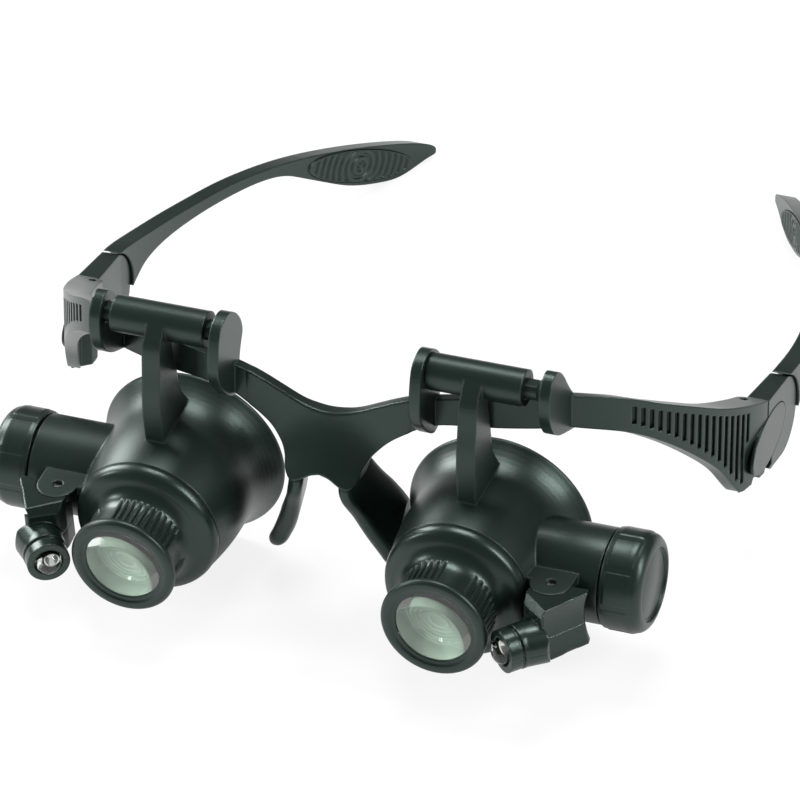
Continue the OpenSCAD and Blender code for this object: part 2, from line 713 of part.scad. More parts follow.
module lamp_body() {
    difference() {
        union() {
            difference() {
                translate([0, 0, -lamp_below]) linear_extrude(block_top + lamp_below - eps)
                    polygon(block_plan);
                // Slope from the top face down to the nose
                translate([-10, slope_y, block_top]) rotate([slope_angle, 0, 0]) translate([0, -14, 0])
                    cube([30, 14, 9]);
                // Lower front corner, rounded down to the nose
                translate([nose_x, nose_y, -lamp_below - 1]) difference() {
                    cube([9, nose_reach - 4.4, lamp_below + 1]);
                    translate([0, -1, lamp_below + 1]) along_y() cylinder(h = far, r = nose_r + 0.1);
                }
            }
            translate([nose_x, nose_y, 0]) along_y() cylinder(h = 2.3, r = nose_r);
            translate([nose_x, nose_y + 2.2, 0]) along_y() cylinder(h = 0.8, r = nose_r - 0.35);
            translate([nose_x, nose_y + 2.9, 0]) along_y() cylinder(h = 8, r = nose_r + 0.1);
            // Outer side of the nose, swelling toward the grip
            translate([nose_x, nose_y + 3.6, 0]) rotate([0, 0, -11]) along_y()
                cylinder(h = 7, r = nose_r + 0.03);
        }
        // Finger hollow beside the nose
        translate([0, 0, -lamp_below - 1]) linear_extrude(far)
            polygon(concat(grip_line, [[14, 3.6], [14, grip_line[0].y]]));
        // Pocket under the lamp tab, clear of the tab over the whole travel
        translate([0, 0, block_top - tab_t - face_gap]) cylinder(h = 9, r = tab_r + face_gap);
        for (a = [turn_least, turn_most]) translate([0, 0, block_top - tab_t - face_gap])
            rotate([0, 0, a]) translate([-far / 2, 0, 0]) cube([far / 2 + tab_r + face_gap, far, 9]);
        translate([0, 0, -lamp_below - 1]) cylinder(h = far, r = lamp_pin_r);
        // Finger scoops in the side and in the end of the grip
        translate([6.3 + scoop_r, -4.4, scoop_z]) rotate([0, 0, 6]) along_y() cylinder(h = 11, r = scoop_r);
        translate([6.1 + (scoop_r - 0.9) * cos(50), 4.15 + (scoop_r - 0.9) * sin(50), scoop_z])
            rotate([0, 0, -40]) along_x() translate([0, 0, -4]) cylinder(h = 8, r = scoop_r);
        // Seat of the diode
        translate([nose_x, nose_y - 1, 0]) along_y() cylinder(h = 2.8, r = led_r + 0.3);
        translate([nose_x, nose_y - 1, 0]) along_y() cylinder(h = 7, r = led_r + run_fit);
    }
}

module lamp_upper_shell(s) {
    color("darkslategray") on_lamp(s) intersection() {
        lamp_body();
        translate([-far / 2, -far / 2, eps]) cube([far, far, far]);
    }
}

module lamp_lower_shell(s) {
    color("darkslategray") on_lamp(s) intersection() {
        lamp_body();
        translate([-far / 2, -far / 2, -far]) cube([far, far, far]);
    }
}

module lamp_led(s) {
    color("honeydew") on_lamp(s) translate([nose_x, nose_y, 0]) along_y() {
        translate([0, 0, 0.4]) cylinder(h = 5.4, r = led_r);
        translate([0, 0, 0.4]) sphere(r = led_r);
    }
}

module lamp_pin(s) {
    color("dimgray") on_lamp(s) translate([0, 0, -lamp_below + 0.4])
        cylinder(h = block_top - 0.8 + lamp_below - 0.4, r = lamp_pin_r);
}

// Temples

knuckle_in = frame_half - fold_t;
knuckle_out = frame_half + 0.1;
fold_front = fold_y + seam_gap;
slot_t = tongue_t + 2 * face_gap;
slot_x = knuckle_in + fold_taper + 0.65;
tongue_r = tilt_r - 1.4;
// How deep the tilt pin sits in each wall of the pocket
tilt_seat = 0.3;

module knuckle_outline() {
    polygon(concat([[fold_front, end_low + 0.6], [fold_front, -20.6]],
        moved(ring_points(tilt_r, 72, -90, 28), [tilt_y, -tilt_z]),
        [[fold_front + 2, -tilt_z - tilt_r + 0.3]]));
}

module fold_knuckle(s) {
    color("darkslategray") on_side(s) difference() {
        union() {
            intersection() {
                translate([knuckle_in, 0, 0]) side_plate(knuckle_out - knuckle_in) knuckle_outline();
                translate([0, 0, -low_end]) linear_extrude(low_end) polygon([[knuckle_out, fold_y],
                    [knuckle_in, fold_y], [knuckle_in + fold_taper, tilt_y + 3.5],
                    [knuckle_in + fold_taper, far], [knuckle_out, far]]);
            }
            translate([0, 0, lug_low + lug_t + face_gap]) linear_extrude(lug_gap - 2 * face_gap) {
                translate([fold_x, fold_pin_y]) circle(r = lug_r);
                translate([knuckle_in, fold_pin_y])
                    square([fold_t - bar_t - face_gap, fold_front + 1 - fold_pin_y]);
            }
        }
        translate([fold_x, fold_pin_y, -far]) cylinder(h = 2 * far, r = fold_pin_r + run_fit);
        // Recess under the oval of the frame's end, open to the front for folding
        translate([frame_half - cover_t - face_gap, 0, 0]) side_plate(5) union() {
            cover_oval(face_gap);
            translate([fold_y - 1, cover_mid[1] - 6.4]) square([4, 10.6]);
        }
        // Pocket for the tongue of the temple arm, open to the back
        translate([slot_x, tilt_y, -tilt_z]) along_x() cylinder(h = slot_t, r = tongue_r + face_gap);
        translate([slot_x, tilt_y, -tilt_z - 5.6]) cube([slot_t, tilt_r + 1, 11.2]);
        translate([slot_x - tilt_seat, tilt_y, -tilt_z]) along_x()
            cylinder(h = slot_t + 2 * tilt_seat, r = tilt_pin_r);
    }
}

module fold_pin(s) {
    color("silver") on_side(s) translate([fold_x, fold_pin_y, lug_low])
        cylinder(h = lug_top - lug_low, r = fold_pin_r);
}

module tilt_pin(s) {
    color("silver") on_side(s) translate([slot_x - tilt_seat + 0.05, tilt_y, -tilt_z]) along_x()
        cylinder(h = slot_t + 2 * tilt_seat - 0.1, r = tilt_pin_r);
}

arm_front_t = knuckle_out - knuckle_in - fold_taper;
arm_mid = knuckle_out - arm_front_t / 2;
function arm_line(s) = let (bow = s < 0 ? right_bow : left_bow)
    bezier_line([[arm_mid, 56], [arm_mid - 1 + 1.3 * bow, arm_end - 62],
    [51.8 + 0.9 * bow, arm_end - 28], [37.6 + 0.2 * bow, arm_end + 0.5]], 40);
function arm_half(y) = (arm_front_t + (arm_t - arm_front_t) * ease((y - 62) / 40)) / 2;
arm_side = concat(smooth([[tilt_y, -20.8], [tilt_y + 6, -20.9], [tilt_y + 16.2, -21.7],
    [tilt_y + 30.2, -22.3], [arm_end - 51.5, -22.7], [arm_end - 36.5, -24.3], [arm_end - 21.5, -27.4],
    [arm_end - 8, -31.2], [arm_end - 1.4, -33.9], [arm_end - 0.2, -36], [arm_end - 2.8, -36.7],
    [tip_low_y, -tip_low_z], [arm_end - 14.7, -37.6], [arm_end - 22.6, -35.2], [arm_end - 32.1, -30.2],
    [arm_end - 38.8, -26.8], [arm_end - 45.5, -25.4], [arm_end - 54.5, -25], [tilt_y + 30.2, -25.1],
    [tilt_y + 20.2, -25.7], [tilt_y + 13.6, -27], [tilt_y + 9.6, -29.2], [tilt_y + 6.4, -31.6],
    [tilt_y + 3, -34]], 5), [[tilt_y, -35]]);
tongue_x = slot_x + face_gap;

// The arm turned about its tilt axis, as it lies
module on_arm(s) {
    on_side(s) translate([0, tilt_y, -tilt_z]) rotate([s < 0 ? 0 : left_lift, 0, 0])
        translate([0, -tilt_y, tilt_z]) children();
}

module arm_plan(line, from, to) {
    polygon(concat(beside(line, [for (q = line) from(q[1])]),
        backwards(beside(line, [for (q = line) to(q[1])]))));
}

grip_mid = [arm_end - 19.5, -31.9];
grip_turn = -18.8;

module grip_outline(shrink) {
    polygon(moved(turned(oval(grip_half - shrink, grip_high - shrink, 48), grip_turn), grip_mid));
}

grip_deep = 0.6;

module temple_arm(s) {
    color("darkslategray") on_arm(s) difference() {
        union() {
            difference() {
                intersection() {
                    translate([0, 0, -low_end]) linear_extrude(low_end)
                        arm_plan(arm_line(s), function(y) -arm_half(y), function(y) arm_half(y));
                    side_plate(far) polygon(arm_side);
                }
                translate([0, tilt_y, -tilt_z]) along_x() cylinder(h = far, r = tilt_r + seam_gap);
            }
            translate([tongue_x, 0, 0]) side_plate(tongue_t) union() {
                translate([tilt_y, -tilt_z]) circle(r = tongue_r);
                translate([tilt_y, -tilt_z - 4.2]) square([tilt_r + 1.5, 8.4]);
            }
        }
        translate([0, tilt_y, -tilt_z]) along_x() cylinder(h = far, r = tilt_pin_r + run_fit);
        intersection() {
            translate([0, 0, -low_end]) linear_extrude(low_end)
                arm_plan(arm_line(s), function(y) arm_half(y) - grip_deep, function(y) arm_half(y) + 3);
            side_plate(far) grip_outline(0);
        }
    }
}

module grip_pad(s) {
    color("gray") on_arm(s) intersection() {
        translate([0, 0, -low_end]) linear_extrude(low_end)
            arm_plan(arm_line(s), function(y) arm_half(y) - grip_deep + eps,
                function(y) arm_half(y) + grip_proud);
        side_plate(far) grip_outline(0.1);
    }
}

front_frame();
hinge_rod(RIGHT);  // right_hinge_rod
hinge_rod(LEFT);  // left_hinge_rod
pod_shell(RIGHT);  // right_pod_shell
pod_shell(LEFT);  // left_pod_shell
lens_housing(RIGHT);  // right_lens_housing
lens_housing(LEFT);  // left_lens_housing
lens_rim(RIGHT);  // right_lens_rim
lens_rim(LEFT);  // left_lens_rim
objective_lens(RIGHT);  // right_objective_lens
objective_lens(LEFT);  // left_objective_lens
battery_cap(RIGHT);  // right_battery_cap
battery_cap(LEFT);  // left_battery_cap
cap_spring(RIGHT);  // right_cap_spring
cap_spring(LEFT);  // left_cap_spring
coin_cells(RIGHT);  // right_coin_cells
coin_cells(LEFT);  // left_coin_cells
battery_contact(RIGHT);  // right_battery_contact
battery_contact(LEFT);  // left_battery_contact
lamp_upper_shell(RIGHT);  // right_lamp_upper_shell
lamp_upper_shell(LEFT);  // left_lamp_upper_shell
lamp_lower_shell(RIGHT);  // right_lamp_lower_shell
lamp_lower_shell(LEFT);  // left_lamp_lower_shell
lamp_led(RIGHT);  // right_lamp_led
lamp_led(LEFT);  // left_lamp_led
lamp_pin(RIGHT);  // right_lamp_pin
lamp_pin(LEFT);  // left_lamp_pin
fold_knuckle(RIGHT);  // right_fold_knuckle
fold_knuckle(LEFT);  // left_fold_knuckle
fold_pin(RIGHT);  // right_fold_pin
fold_pin(LEFT);  // left_fold_pin
temple_arm(RIGHT);  // right_temple_arm
temple_arm(LEFT);  // left_temple_arm
tilt_pin(RIGHT);  // right_tilt_pin
tilt_pin(LEFT);  // left_tilt_pin
grip_pad(RIGHT);  // right_grip_pad
grip_pad(LEFT);  // left_grip_pad
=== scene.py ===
"""Finish and studio for the binocular head magnifier: smooth lens units, glass, caps, diodes, grip pads,
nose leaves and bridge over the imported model, moulded plastic on the rest, and a pale photo studio."""
import math

import bmesh
import bpy
import numpy as np
from bpy.props import FloatProperty, FloatVectorProperty, IntProperty, PointerProperty
from mathutils import Matrix, Vector


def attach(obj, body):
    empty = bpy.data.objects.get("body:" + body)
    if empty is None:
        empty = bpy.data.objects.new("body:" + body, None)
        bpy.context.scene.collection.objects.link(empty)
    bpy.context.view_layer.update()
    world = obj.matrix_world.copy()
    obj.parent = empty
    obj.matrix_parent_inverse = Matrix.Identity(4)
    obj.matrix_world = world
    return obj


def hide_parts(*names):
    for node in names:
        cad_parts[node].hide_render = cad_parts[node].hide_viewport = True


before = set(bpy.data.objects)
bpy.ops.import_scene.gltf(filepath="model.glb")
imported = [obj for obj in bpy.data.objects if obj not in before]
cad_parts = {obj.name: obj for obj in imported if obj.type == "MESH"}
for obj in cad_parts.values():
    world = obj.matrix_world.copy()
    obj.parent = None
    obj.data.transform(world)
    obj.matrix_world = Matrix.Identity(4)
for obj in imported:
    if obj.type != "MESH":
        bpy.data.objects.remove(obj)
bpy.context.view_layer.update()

bl_info = {
    "name": "Head Magnifier Finish",
    "version": (1, 0, 0),
    "blender": (4, 5, 0),
    "location": "View3D > Sidebar > Magnifier",
    "description": "Finishes a packed binocular head magnifier and sets up its studio",
    "category": "Object",
}

SIDES = {"right": -1, "left": 1}

# Sizes of the part in millimetres and its angles in degrees, as the part's source has them

# Eyepieces: where the ears hold their rods, how each one hangs, and its bell
EAR_IN = 20.85
EAR_OUT = 43.15
ROD_MID = (EAR_IN + EAR_OUT) / 2
SLIDE = {"right": 0.1, "left": -1.7}
PITCH = {"right": 10.4, "left": 6.9}
POD_DROP = 36.6
BELL_FRONT = 14.5
BELL_FRONT_R = 14.0
BELL_BACK = 8.1
BELL_BACK_R = 18.2

# Lens units, twisted in until the middle of each upper group of ribs stands at its turn
SPIGOT_R = 12.3
SPIGOT_WALL = 1.2
SPIGOT_LEN = 3.0
BARREL_R = 8.9
BARREL_FRONT = 26.2
RIM_R = 10.3
RIM_FRONT = 28.1
GLASS_R = 8.0
RIBS = 11
RIB_GROUPS = 3
LENS_TURN = {"right": 115.5, "left": 131.0}

# Battery tubes and lamps
TUBE_R = 9.1
TUBE_FWD = 2.8
CAP_R = 9.5
PIVOT_X = 18.2
PIVOT_Y = -(TUBE_FWD + TUBE_R + 2.5)
LAMP_TURN = {"right": 36, "left": 41}
LAMP_SPLIT = 2.0
NOSE_X = 5.4
NOSE_FRONT = -13.5

# Bridge and nose pads
BAR_T = 2.4
BROW_FRONT = 1.5
KEEL_FRONT = 2.1
KEEL_TOP = -14
KEEL_LEAN = 25
PAD_T = 1.9
PAD_SWELL = 0.9
PAD_SPLAY = 14.5

# Temples
KNUCKLE_OUT = 70.3
KNUCKLE_IN = 66.0
FOLD_TAPER = 0.75
TILT_Y = 56.8
TILT_Z = -28.6
ARM_FRONT_T = KNUCKLE_OUT - KNUCKLE_IN - FOLD_TAPER
ARM_T = 3.1
ARM_END = 152.5
ARM_BOW = {"right": 0, "left": 3.5}
ARM_LIFT = {"right": 0, "left": 1.4}

# Lie on the table, where the lower rear rim of an eyepiece and the end of the right temple touch it
TIP_LOW_Y = ARM_END - 9
TIP_LOW_Z = 38.2
POD_LOW = BELL_BACK_R + POD_DROP
LOW_PITCH = math.radians(min(PITCH.values()))
REST_TILT = math.atan((POD_LOW * math.cos(LOW_PITCH) - BELL_BACK * math.sin(LOW_PITCH) - TIP_LOW_Z)
                      / (TIP_LOW_Y - POD_LOW * math.sin(LOW_PITCH) - BELL_BACK * math.cos(LOW_PITCH)))
REST_HEIGHT = POD_LOW * math.cos(LOW_PITCH - REST_TILT) - BELL_BACK * math.sin(LOW_PITCH - REST_TILT)
# From the rods back to the middle of the footprint
FOOT_MID = 58.5
MM_IN_METRE = 1000


def turn(a, b, angle):
    """A turn by an angle in radians in the plane of two coordinates: a cos - b sin and a sin + b cos."""
    c, s = math.cos(angle), math.sin(angle)
    return a * c - b * s, a * s + b * c


# Frames of the part: each takes millimetres and gives the place on the table in metres

def on_side(p, side):
    """x away from the middle, y to the back, z up from the rod line; the right side is mirrored."""
    p = np.asarray(p, float)
    y, z = turn(p[..., 1], p[..., 2], -REST_TILT)
    return np.stack([p[..., 0] * SIDES[side], y - FOOT_MID, z + REST_HEIGHT], -1) / MM_IN_METRE


def on_pod(p, side):
    """Zero on the lens axis under the rod, x outward; the pod hangs from its rod at its pitch."""
    y, z = turn(p[..., 1], p[..., 2] - POD_DROP, math.radians(PITCH[side]))
    return on_side(np.stack([p[..., 0] + ROD_MID + SLIDE[side], y, z], -1), side)


def on_tube(p, side):
    """Zero on the lens axis as on_pod, with y outward along the middle line of the battery tube."""
    return on_pod(np.stack([p[..., 1], p[..., 0] - TUBE_FWD, p[..., 2]], -1), side)


def on_lamp(p, side):
    """Zero on the lamp's pivot at its parting line, the lamp pointing along -y before its turn."""
    x, y = turn(p[..., 0], p[..., 1], -math.radians(LAMP_TURN[side]))
    return on_pod(np.stack([x + PIVOT_X, y + PIVOT_Y, p[..., 2] - LAMP_SPLIT], -1), side)


def on_nose(p, side):
    """As on_lamp, with zero on the middle line of the lamp's nose, at its front."""
    return on_lamp(p + np.array([NOSE_X, NOSE_FRONT, 0]), side)


def on_arm(p, side):
    """As on_side, with the arm turned about its tilt axis as it lies."""
    y, z = turn(p[..., 1] - TILT_Y, p[..., 2] - TILT_Z, math.radians(ARM_LIFT[side]))
    return on_side(np.stack([p[..., 0], y + TILT_Y, z + TILT_Z], -1), side)


# Surfaces

LINE_STEPS = 6


def smooth_line(points, steps=LINE_STEPS):
    """Points on a line through the given ones: on each stretch b to c with neighbours a and d it is
    (2b + (c-a)t + (2a-5b+4c-d)t^2 + (3b-a-3c+d)t^3) / 2."""
    p = np.asarray(points, float)
    q = np.concatenate([p[:1], p, p[-1:]])
    a, b, c, d = q[:-3, None], q[1:-2, None], q[2:-1, None], q[3:, None]
    t = (np.arange(steps) / steps)[None, :, None]
    square = (2 * a - 5 * b + 4 * c - d) * t ** 2
    cube = (3 * b - a - 3 * c + d) * t ** 3
    line = 0.5 * (2 * b + (c - a) * t + square + cube)
    return np.concatenate([line.reshape(-1, p.shape[1]), p[-1:]])


def read_line(points, at, by=0):
    """The other coordinate of the smooth line through points, where the one numbered by is at."""
    line = smooth_line(points)
    if line[0, by] > line[-1, by]:
        line = line[::-1]
    return np.interp(at, line[:, by], line[:, 1 - by])


def ease(t):
    """0 below 0, 1 above 1 and 3t^2 - 2t^3 between."""
    t = np.clip(t, 0, 1)
    return t * t * (3 - 2 * t)


def half_wave(t):
    """0.5 + 0.5 cos(2 pi t): 1 at whole numbers and 0 half way between."""
    return 0.5 + 0.5 * np.cos(2 * np.pi * t)


def full_turn(count):
    """Angles of a full turn in equal steps."""
    return np.linspace(0, 2 * np.pi, count, endpoint=False)


def grid_faces(rows, columns, wrap_rows, wrap_columns):
    """Quads between neighbours of a grid of points, with the last joined to the first where it wraps."""
    i = np.arange(rows if wrap_rows else rows - 1)[:, None]
    j = np.arange(columns if wrap_columns else columns - 1)[None, :]
    i2, j2 = (i + 1) % rows, (j + 1) % columns
    corners = [i * columns + j, i2 * columns + j, i2 * columns + j2, i * columns + j2]
    return np.stack(np.broadcast_arrays(*corners), -1).reshape(-1, 4)


def turned(profile, turns, place, side, ring=False, radius=None, axis=0.0):
    """Points and faces of a profile of (radius, y) turned about y, put down by a frame of the part: at
    each angle a it has r cos(a) + axis, y and r sin(a). A radius that is given has a row for each angle.
    A ring's profile is a loop, and any other one starts and ends on the axis."""
    a = full_turn(turns)[:, None]
    r = np.broadcast_to(profile[:, 0] if radius is None else radius, (turns, len(profile)))
    grid = np.stack([r * np.cos(a) + axis, np.broadcast_to(profile[:, 1], r.shape), r * np.sin(a)], -1)
    return place(grid, side), grid_faces(turns, len(profile), True, ring)


def add_piece(name, parts, body, finish, replaces=(), crease=40.0):
    """A new object from a list of (points, faces); doubles are merged and faces turned outward."""
    verts, faces, base = [], [], 0
    for points, quads in parts:
        flat = np.asarray(points, float).reshape(-1, 3)
        verts.append(flat)
        faces.append(quads + base)
        base += len(flat)
    verts, faces = np.concatenate(verts), np.concatenate(faces)
    mesh = bpy.data.meshes.new(name)
    mesh.from_pydata(verts, [], faces.tolist())
    work = bmesh.new()
    work.from_mesh(mesh)
    bmesh.ops.remove_doubles(work, verts=work.verts, dist=1e-6)
    bmesh.ops.dissolve_degenerate(work, edges=work.edges, dist=1e-7)
    bmesh.ops.recalc_face_normals(work, faces=work.faces)
    work.to_mesh(mesh)
    work.free()
    mesh.shade_smooth()
    mesh.set_sharp_from_angle(angle=math.radians(crease))
    mesh.materials.append(finish)
    piece = bpy.data.objects.new(name, mesh)
    bpy.context.scene.collection.objects.link(piece)
    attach(piece, body)
    if replaces:
        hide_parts(*replaces)


# Finishes

WHITE = (1, 1, 1, 1)
SPECULAR_GREEN = (0.78, 1.0, 0.92, 1)
# How much of the floor is glow, and how much of that reflections keep
FLOOR_GLOW = 0.86
MIRRORED_GLOW = 0.5


def node(tree, kind, **values):
    """A new node; a value goes to the input of its name, or else to the setting of its name."""
    made = tree.nodes.new(kind)
    for key, value in values.items():
        if key in made.inputs:
            made.inputs[key].default_value = value
        else:
            setattr(made, key, value)
    return made


def wire(tree, *links):
    """Joins sockets; a link holds a node, its output, the next node and its input."""
    for source, output, target, entry in links:
        tree.links.new(source.outputs[output], target.inputs[entry])


def shade(colour, factor=1.0, lift=0.0):
    """The colour times factor plus lift, opaque."""
    return (*[min(1, c * factor + lift) for c in colour], 1)


def new_material(name):
    """A new material with nodes, its tree and its shader."""
    mat = bpy.data.materials.new(name)
    mat.use_nodes = True
    return mat, mat.node_tree, mat.node_tree.nodes["Principled BSDF"]


def plastic_grain():
    """Group: fine moulded grain, slow tone change and worn edges from the object's own coordinates."""
    found = bpy.data.node_groups.get("Moulded plastic")
    if found:
        return found
    tree = bpy.data.node_groups.new("Moulded plastic", "ShaderNodeTree")
    for label, value in (("Grain Scale", 2600.0), ("Mottle Scale", 60.0), ("Roughness", 0.4),
                         ("Spread", 0.1), ("Edge Radius", 0.0004)):
        socket = tree.interface.new_socket(label, in_out="INPUT", socket_type="NodeSocketFloat")
        socket.default_value = value
    for label in ("Tone", "Height", "Roughness", "Edge"):
        tree.interface.new_socket(label, in_out="OUTPUT", socket_type="NodeSocketFloat")
    tree.interface.new_socket("Edge Normal", in_out="OUTPUT", socket_type="NodeSocketVector")
    given, result = node(tree, "NodeGroupInput"), node(tree, "NodeGroupOutput")
    place = node(tree, "ShaderNodeTexCoord")
    grain = node(tree, "ShaderNodeTexNoise", Detail=3.0)
    mottle = node(tree, "ShaderNodeTexNoise", Detail=4.0, Roughness=0.6)
    scuff = node(tree, "ShaderNodeTexNoise", Scale=420.0, Detail=2.0)
    bevel = node(tree, "ShaderNodeBevel", samples=6)
    flat = node(tree, "ShaderNodeNewGeometry")
    # The further the softened normal turns from the flat one, the more a point is an edge
    dot = node(tree, "ShaderNodeVectorMath", operation="DOT_PRODUCT")
    turning = node(tree, "ShaderNodeMapRange", **{"From Min": 0.995, "From Max": 0.86})
    edge = node(tree, "ShaderNodeMath", operation="MULTIPLY")
    rough = node(tree, "ShaderNodeMath", operation="MULTIPLY_ADD")
    centred = node(tree, "ShaderNodeMath", operation="SUBTRACT")
    centred.inputs[1].default_value = 0.5
    wire(tree, (place, "Object", grain, "Vector"), (place, "Object", mottle, "Vector"),
         (place, "Object", scuff, "Vector"), (given, "Grain Scale", grain, "Scale"),
         (given, "Mottle Scale", mottle, "Scale"), (given, "Edge Radius", bevel, "Radius"),
         (bevel, "Normal", dot, 0), (flat, "Normal", dot, 1), (dot, "Value", turning, "Value"),
         (turning, "Result", edge, 0), (scuff, "Fac", edge, 1), (mottle, "Fac", centred, 0),
         (centred, 0, rough, 0), (given, "Spread", rough, 1), (given, "Roughness", rough, 2),
         (mottle, "Fac", result, "Tone"), (grain, "Fac", result, "Height"),
         (rough, 0, result, "Roughness"), (edge, 0, result, "Edge"),
         (bevel, "Normal", result, "Edge Normal"))
    return tree


def moulded(name, colour, roughness, grain=0.25, edge_radius=0.0004):
    """Satin moulded plastic: two close tones, paler worn edges, fine grain and softened edges."""
    found = bpy.data.materials.get(name)
    if found:
        return found
    mat, tree, shader = new_material(name)
    shader.inputs["IOR"].default_value = 1.5
    shader.inputs["Specular Tint"].default_value = SPECULAR_GREEN
    look = node(tree, "ShaderNodeGroup", node_tree=plastic_grain())
    for label, value in (("Roughness", roughness), ("Spread", 0.12), ("Edge Radius", edge_radius)):
        look.inputs[label].default_value = value
    tone = node(tree, "ShaderNodeMix", data_type="RGBA")
    tone.inputs["A"].default_value = shade(colour, 0.8)
    tone.inputs["B"].default_value = shade(colour, 1.25)
    worn = node(tree, "ShaderNodeMix", data_type="RGBA")
    worn.inputs["B"].default_value = shade(colour, 1.6, 0.02)
    bump = node(tree, "ShaderNodeBump", Strength=grain, Distance=0.00006)
    wire(tree, (look, "Tone", tone, "Factor"), (tone, "Result", worn, "A"),
         (look, "Edge", worn, "Factor"), (worn, "Result", shader, "Base Color"),
         (look, "Roughness", shader, "Roughness"),
         (look, "Height", bump, "Height"), (look, "Edge Normal", bump, "Normal"),
         (bump, "Normal", shader, "Normal"))
    return mat


def metal(name, colour, roughness):
    """Drawn or stamped metal with fine brushing."""
    found = bpy.data.materials.get(name)
    if found:
        return found
    mat, tree, shader = new_material(name)
    shader.inputs["Metallic"].default_value = 1.0
    place = node(tree, "ShaderNodeTexCoord")
    stretch = node(tree, "ShaderNodeMapping", Scale=(4000, 300, 300))
    brush = node(tree, "ShaderNodeTexNoise", Scale=1.0, Detail=3.0)
    level = node(tree, "ShaderNodeMapRange", **{"To Min": roughness * 0.7, "To Max": roughness * 1.4})
    tone = node(tree, "ShaderNodeMix", data_type="RGBA")
    tone.inputs["A"].default_value = shade(colour, 0.85)
    tone.inputs["B"].default_value = shade(colour)
    wire(tree, (place, "Object", stretch, "Vector"), (stretch, "Vector", brush, "Vector"),
         (brush, "Fac", level, "Value"), (level, "Result", shader, "Roughness"),
         (brush, "Fac", tone, "Factor"), (tone, "Result", shader, "Base Color"))
    return mat


def clear(name, colour, roughness, ior, haze):
    """Clear glass or epoxy with a faint tint that varies a little, and a trace of haze; light passes
    through it straight, so that what lies behind it is lit."""
    found = bpy.data.materials.get(name)
    if found:
        return found
    mat, tree, shader = new_material(name)
    shader.inputs["Transmission Weight"].default_value = 1.0
    shader.inputs["IOR"].default_value = ior
    place = node(tree, "ShaderNodeTexCoord")
    cloud = node(tree, "ShaderNodeTexNoise", Scale=220.0, Detail=3.0)
    tint = node(tree, "ShaderNodeMix", data_type="RGBA")
    tint.inputs["A"].default_value = shade(colour, 0.93)
    tint.inputs["B"].default_value = shade(colour)
    level = node(tree, "ShaderNodeMapRange", **{"To Min": roughness, "To Max": roughness + haze})
    rays = node(tree, "ShaderNodeLightPath")
    open_way = node(tree, "ShaderNodeBsdfTransparent", Color=shade([c ** 0.5 for c in colour]))
    mix = node(tree, "ShaderNodeMixShader")
    wire(tree, (place, "Object", cloud, "Vector"), (cloud, "Fac", tint, "Factor"),
         (tint, "Result", shader, "Base Color"), (cloud, "Fac", level, "Value"),
         (level, "Result", shader, "Roughness"), (rays, "Is Shadow Ray", mix, "Fac"),
         (shader, 0, mix, 1), (open_way, 0, mix, 2),
         (mix, 0, tree.nodes["Material Output"], "Surface"))
    return mat


def floor_finish(colour):
    """Pale floor that keeps the shadow. It glows white to the camera and through glass, and half as much in
    reflections; the rest of what is seen of it is its lit surface."""
    mat, tree, shader = new_material("Floor")
    shader.inputs["Roughness"].default_value = 0.9
    shader.inputs["Specular IOR Level"].default_value = 0.1
    place = node(tree, "ShaderNodeTexCoord")
    paper = node(tree, "ShaderNodeTexNoise", Scale=900.0, Detail=2.0)
    tint = node(tree, "ShaderNodeMix", data_type="RGBA")
    tint.inputs["A"].default_value = shade(colour, 0.985)
    tint.inputs["B"].default_value = shade(colour)
    glow = node(tree, "ShaderNodeEmission", Color=WHITE, Strength=1.0)
    rays = node(tree, "ShaderNodeLightPath")
    seen = node(tree, "ShaderNodeMath", operation="MAXIMUM")
    through = node(tree, "ShaderNodeMath", operation="MAXIMUM")
    share = node(tree, "ShaderNodeMath", operation="MULTIPLY")
    share.inputs[1].default_value = FLOOR_GLOW
    mirrored = node(tree, "ShaderNodeMath", operation="MULTIPLY")
    mirrored.inputs[1].default_value = MIRRORED_GLOW
    mix = node(tree, "ShaderNodeMixShader")
    wire(tree, (place, "Object", paper, "Vector"), (paper, "Fac", tint, "Factor"),
         (tint, "Result", shader, "Base Color"), (rays, "Is Camera Ray", seen, 0),
         (rays, "Is Glossy Ray", mirrored, 0), (mirrored, 0, seen, 1), (seen, 0, through, 0),
         (rays, "Is Transmission Ray", through, 1), (through, 0, share, 0), (share, 0, mix, "Fac"),
         (shader, 0, mix, 1), (glow, 0, mix, 2), (mix, 0, tree.nodes["Material Output"], "Surface"))
    return mat


def put_finish(mat, *names):
    """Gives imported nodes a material."""
    for name in names:
        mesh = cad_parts[name].data
        mesh.materials.clear()
        mesh.materials.append(mat)


def both(*kinds):
    """Names of the nodes of these kinds on both sides."""
    return [f"{side}_{kind}" for side in SIDES for kind in kinds]


class MAGNIFIER_PG_sizes(bpy.types.PropertyGroup):
    """Sizes of the pieces that the finish adds."""
    rib_height: FloatProperty(name="Rib height", description="How proud the barrel's ribs stand, in mm",
                              default=0.5, min=0.1, max=0.9)
    rib_step: FloatProperty(name="Rib step", description="Angle from rib to rib round the barrel",
                            default=math.radians(8.1), min=0.05, max=0.3, subtype="ANGLE")
    cap_panels: IntProperty(name="Cap panels", description="Raised grip panels round a battery cap",
                            default=8, min=4, max=14)
    ring_step: FloatProperty(name="Ring step", description="Step of the rings on a temple pad, in mm",
                             default=1.6, min=0.5, max=3.0)


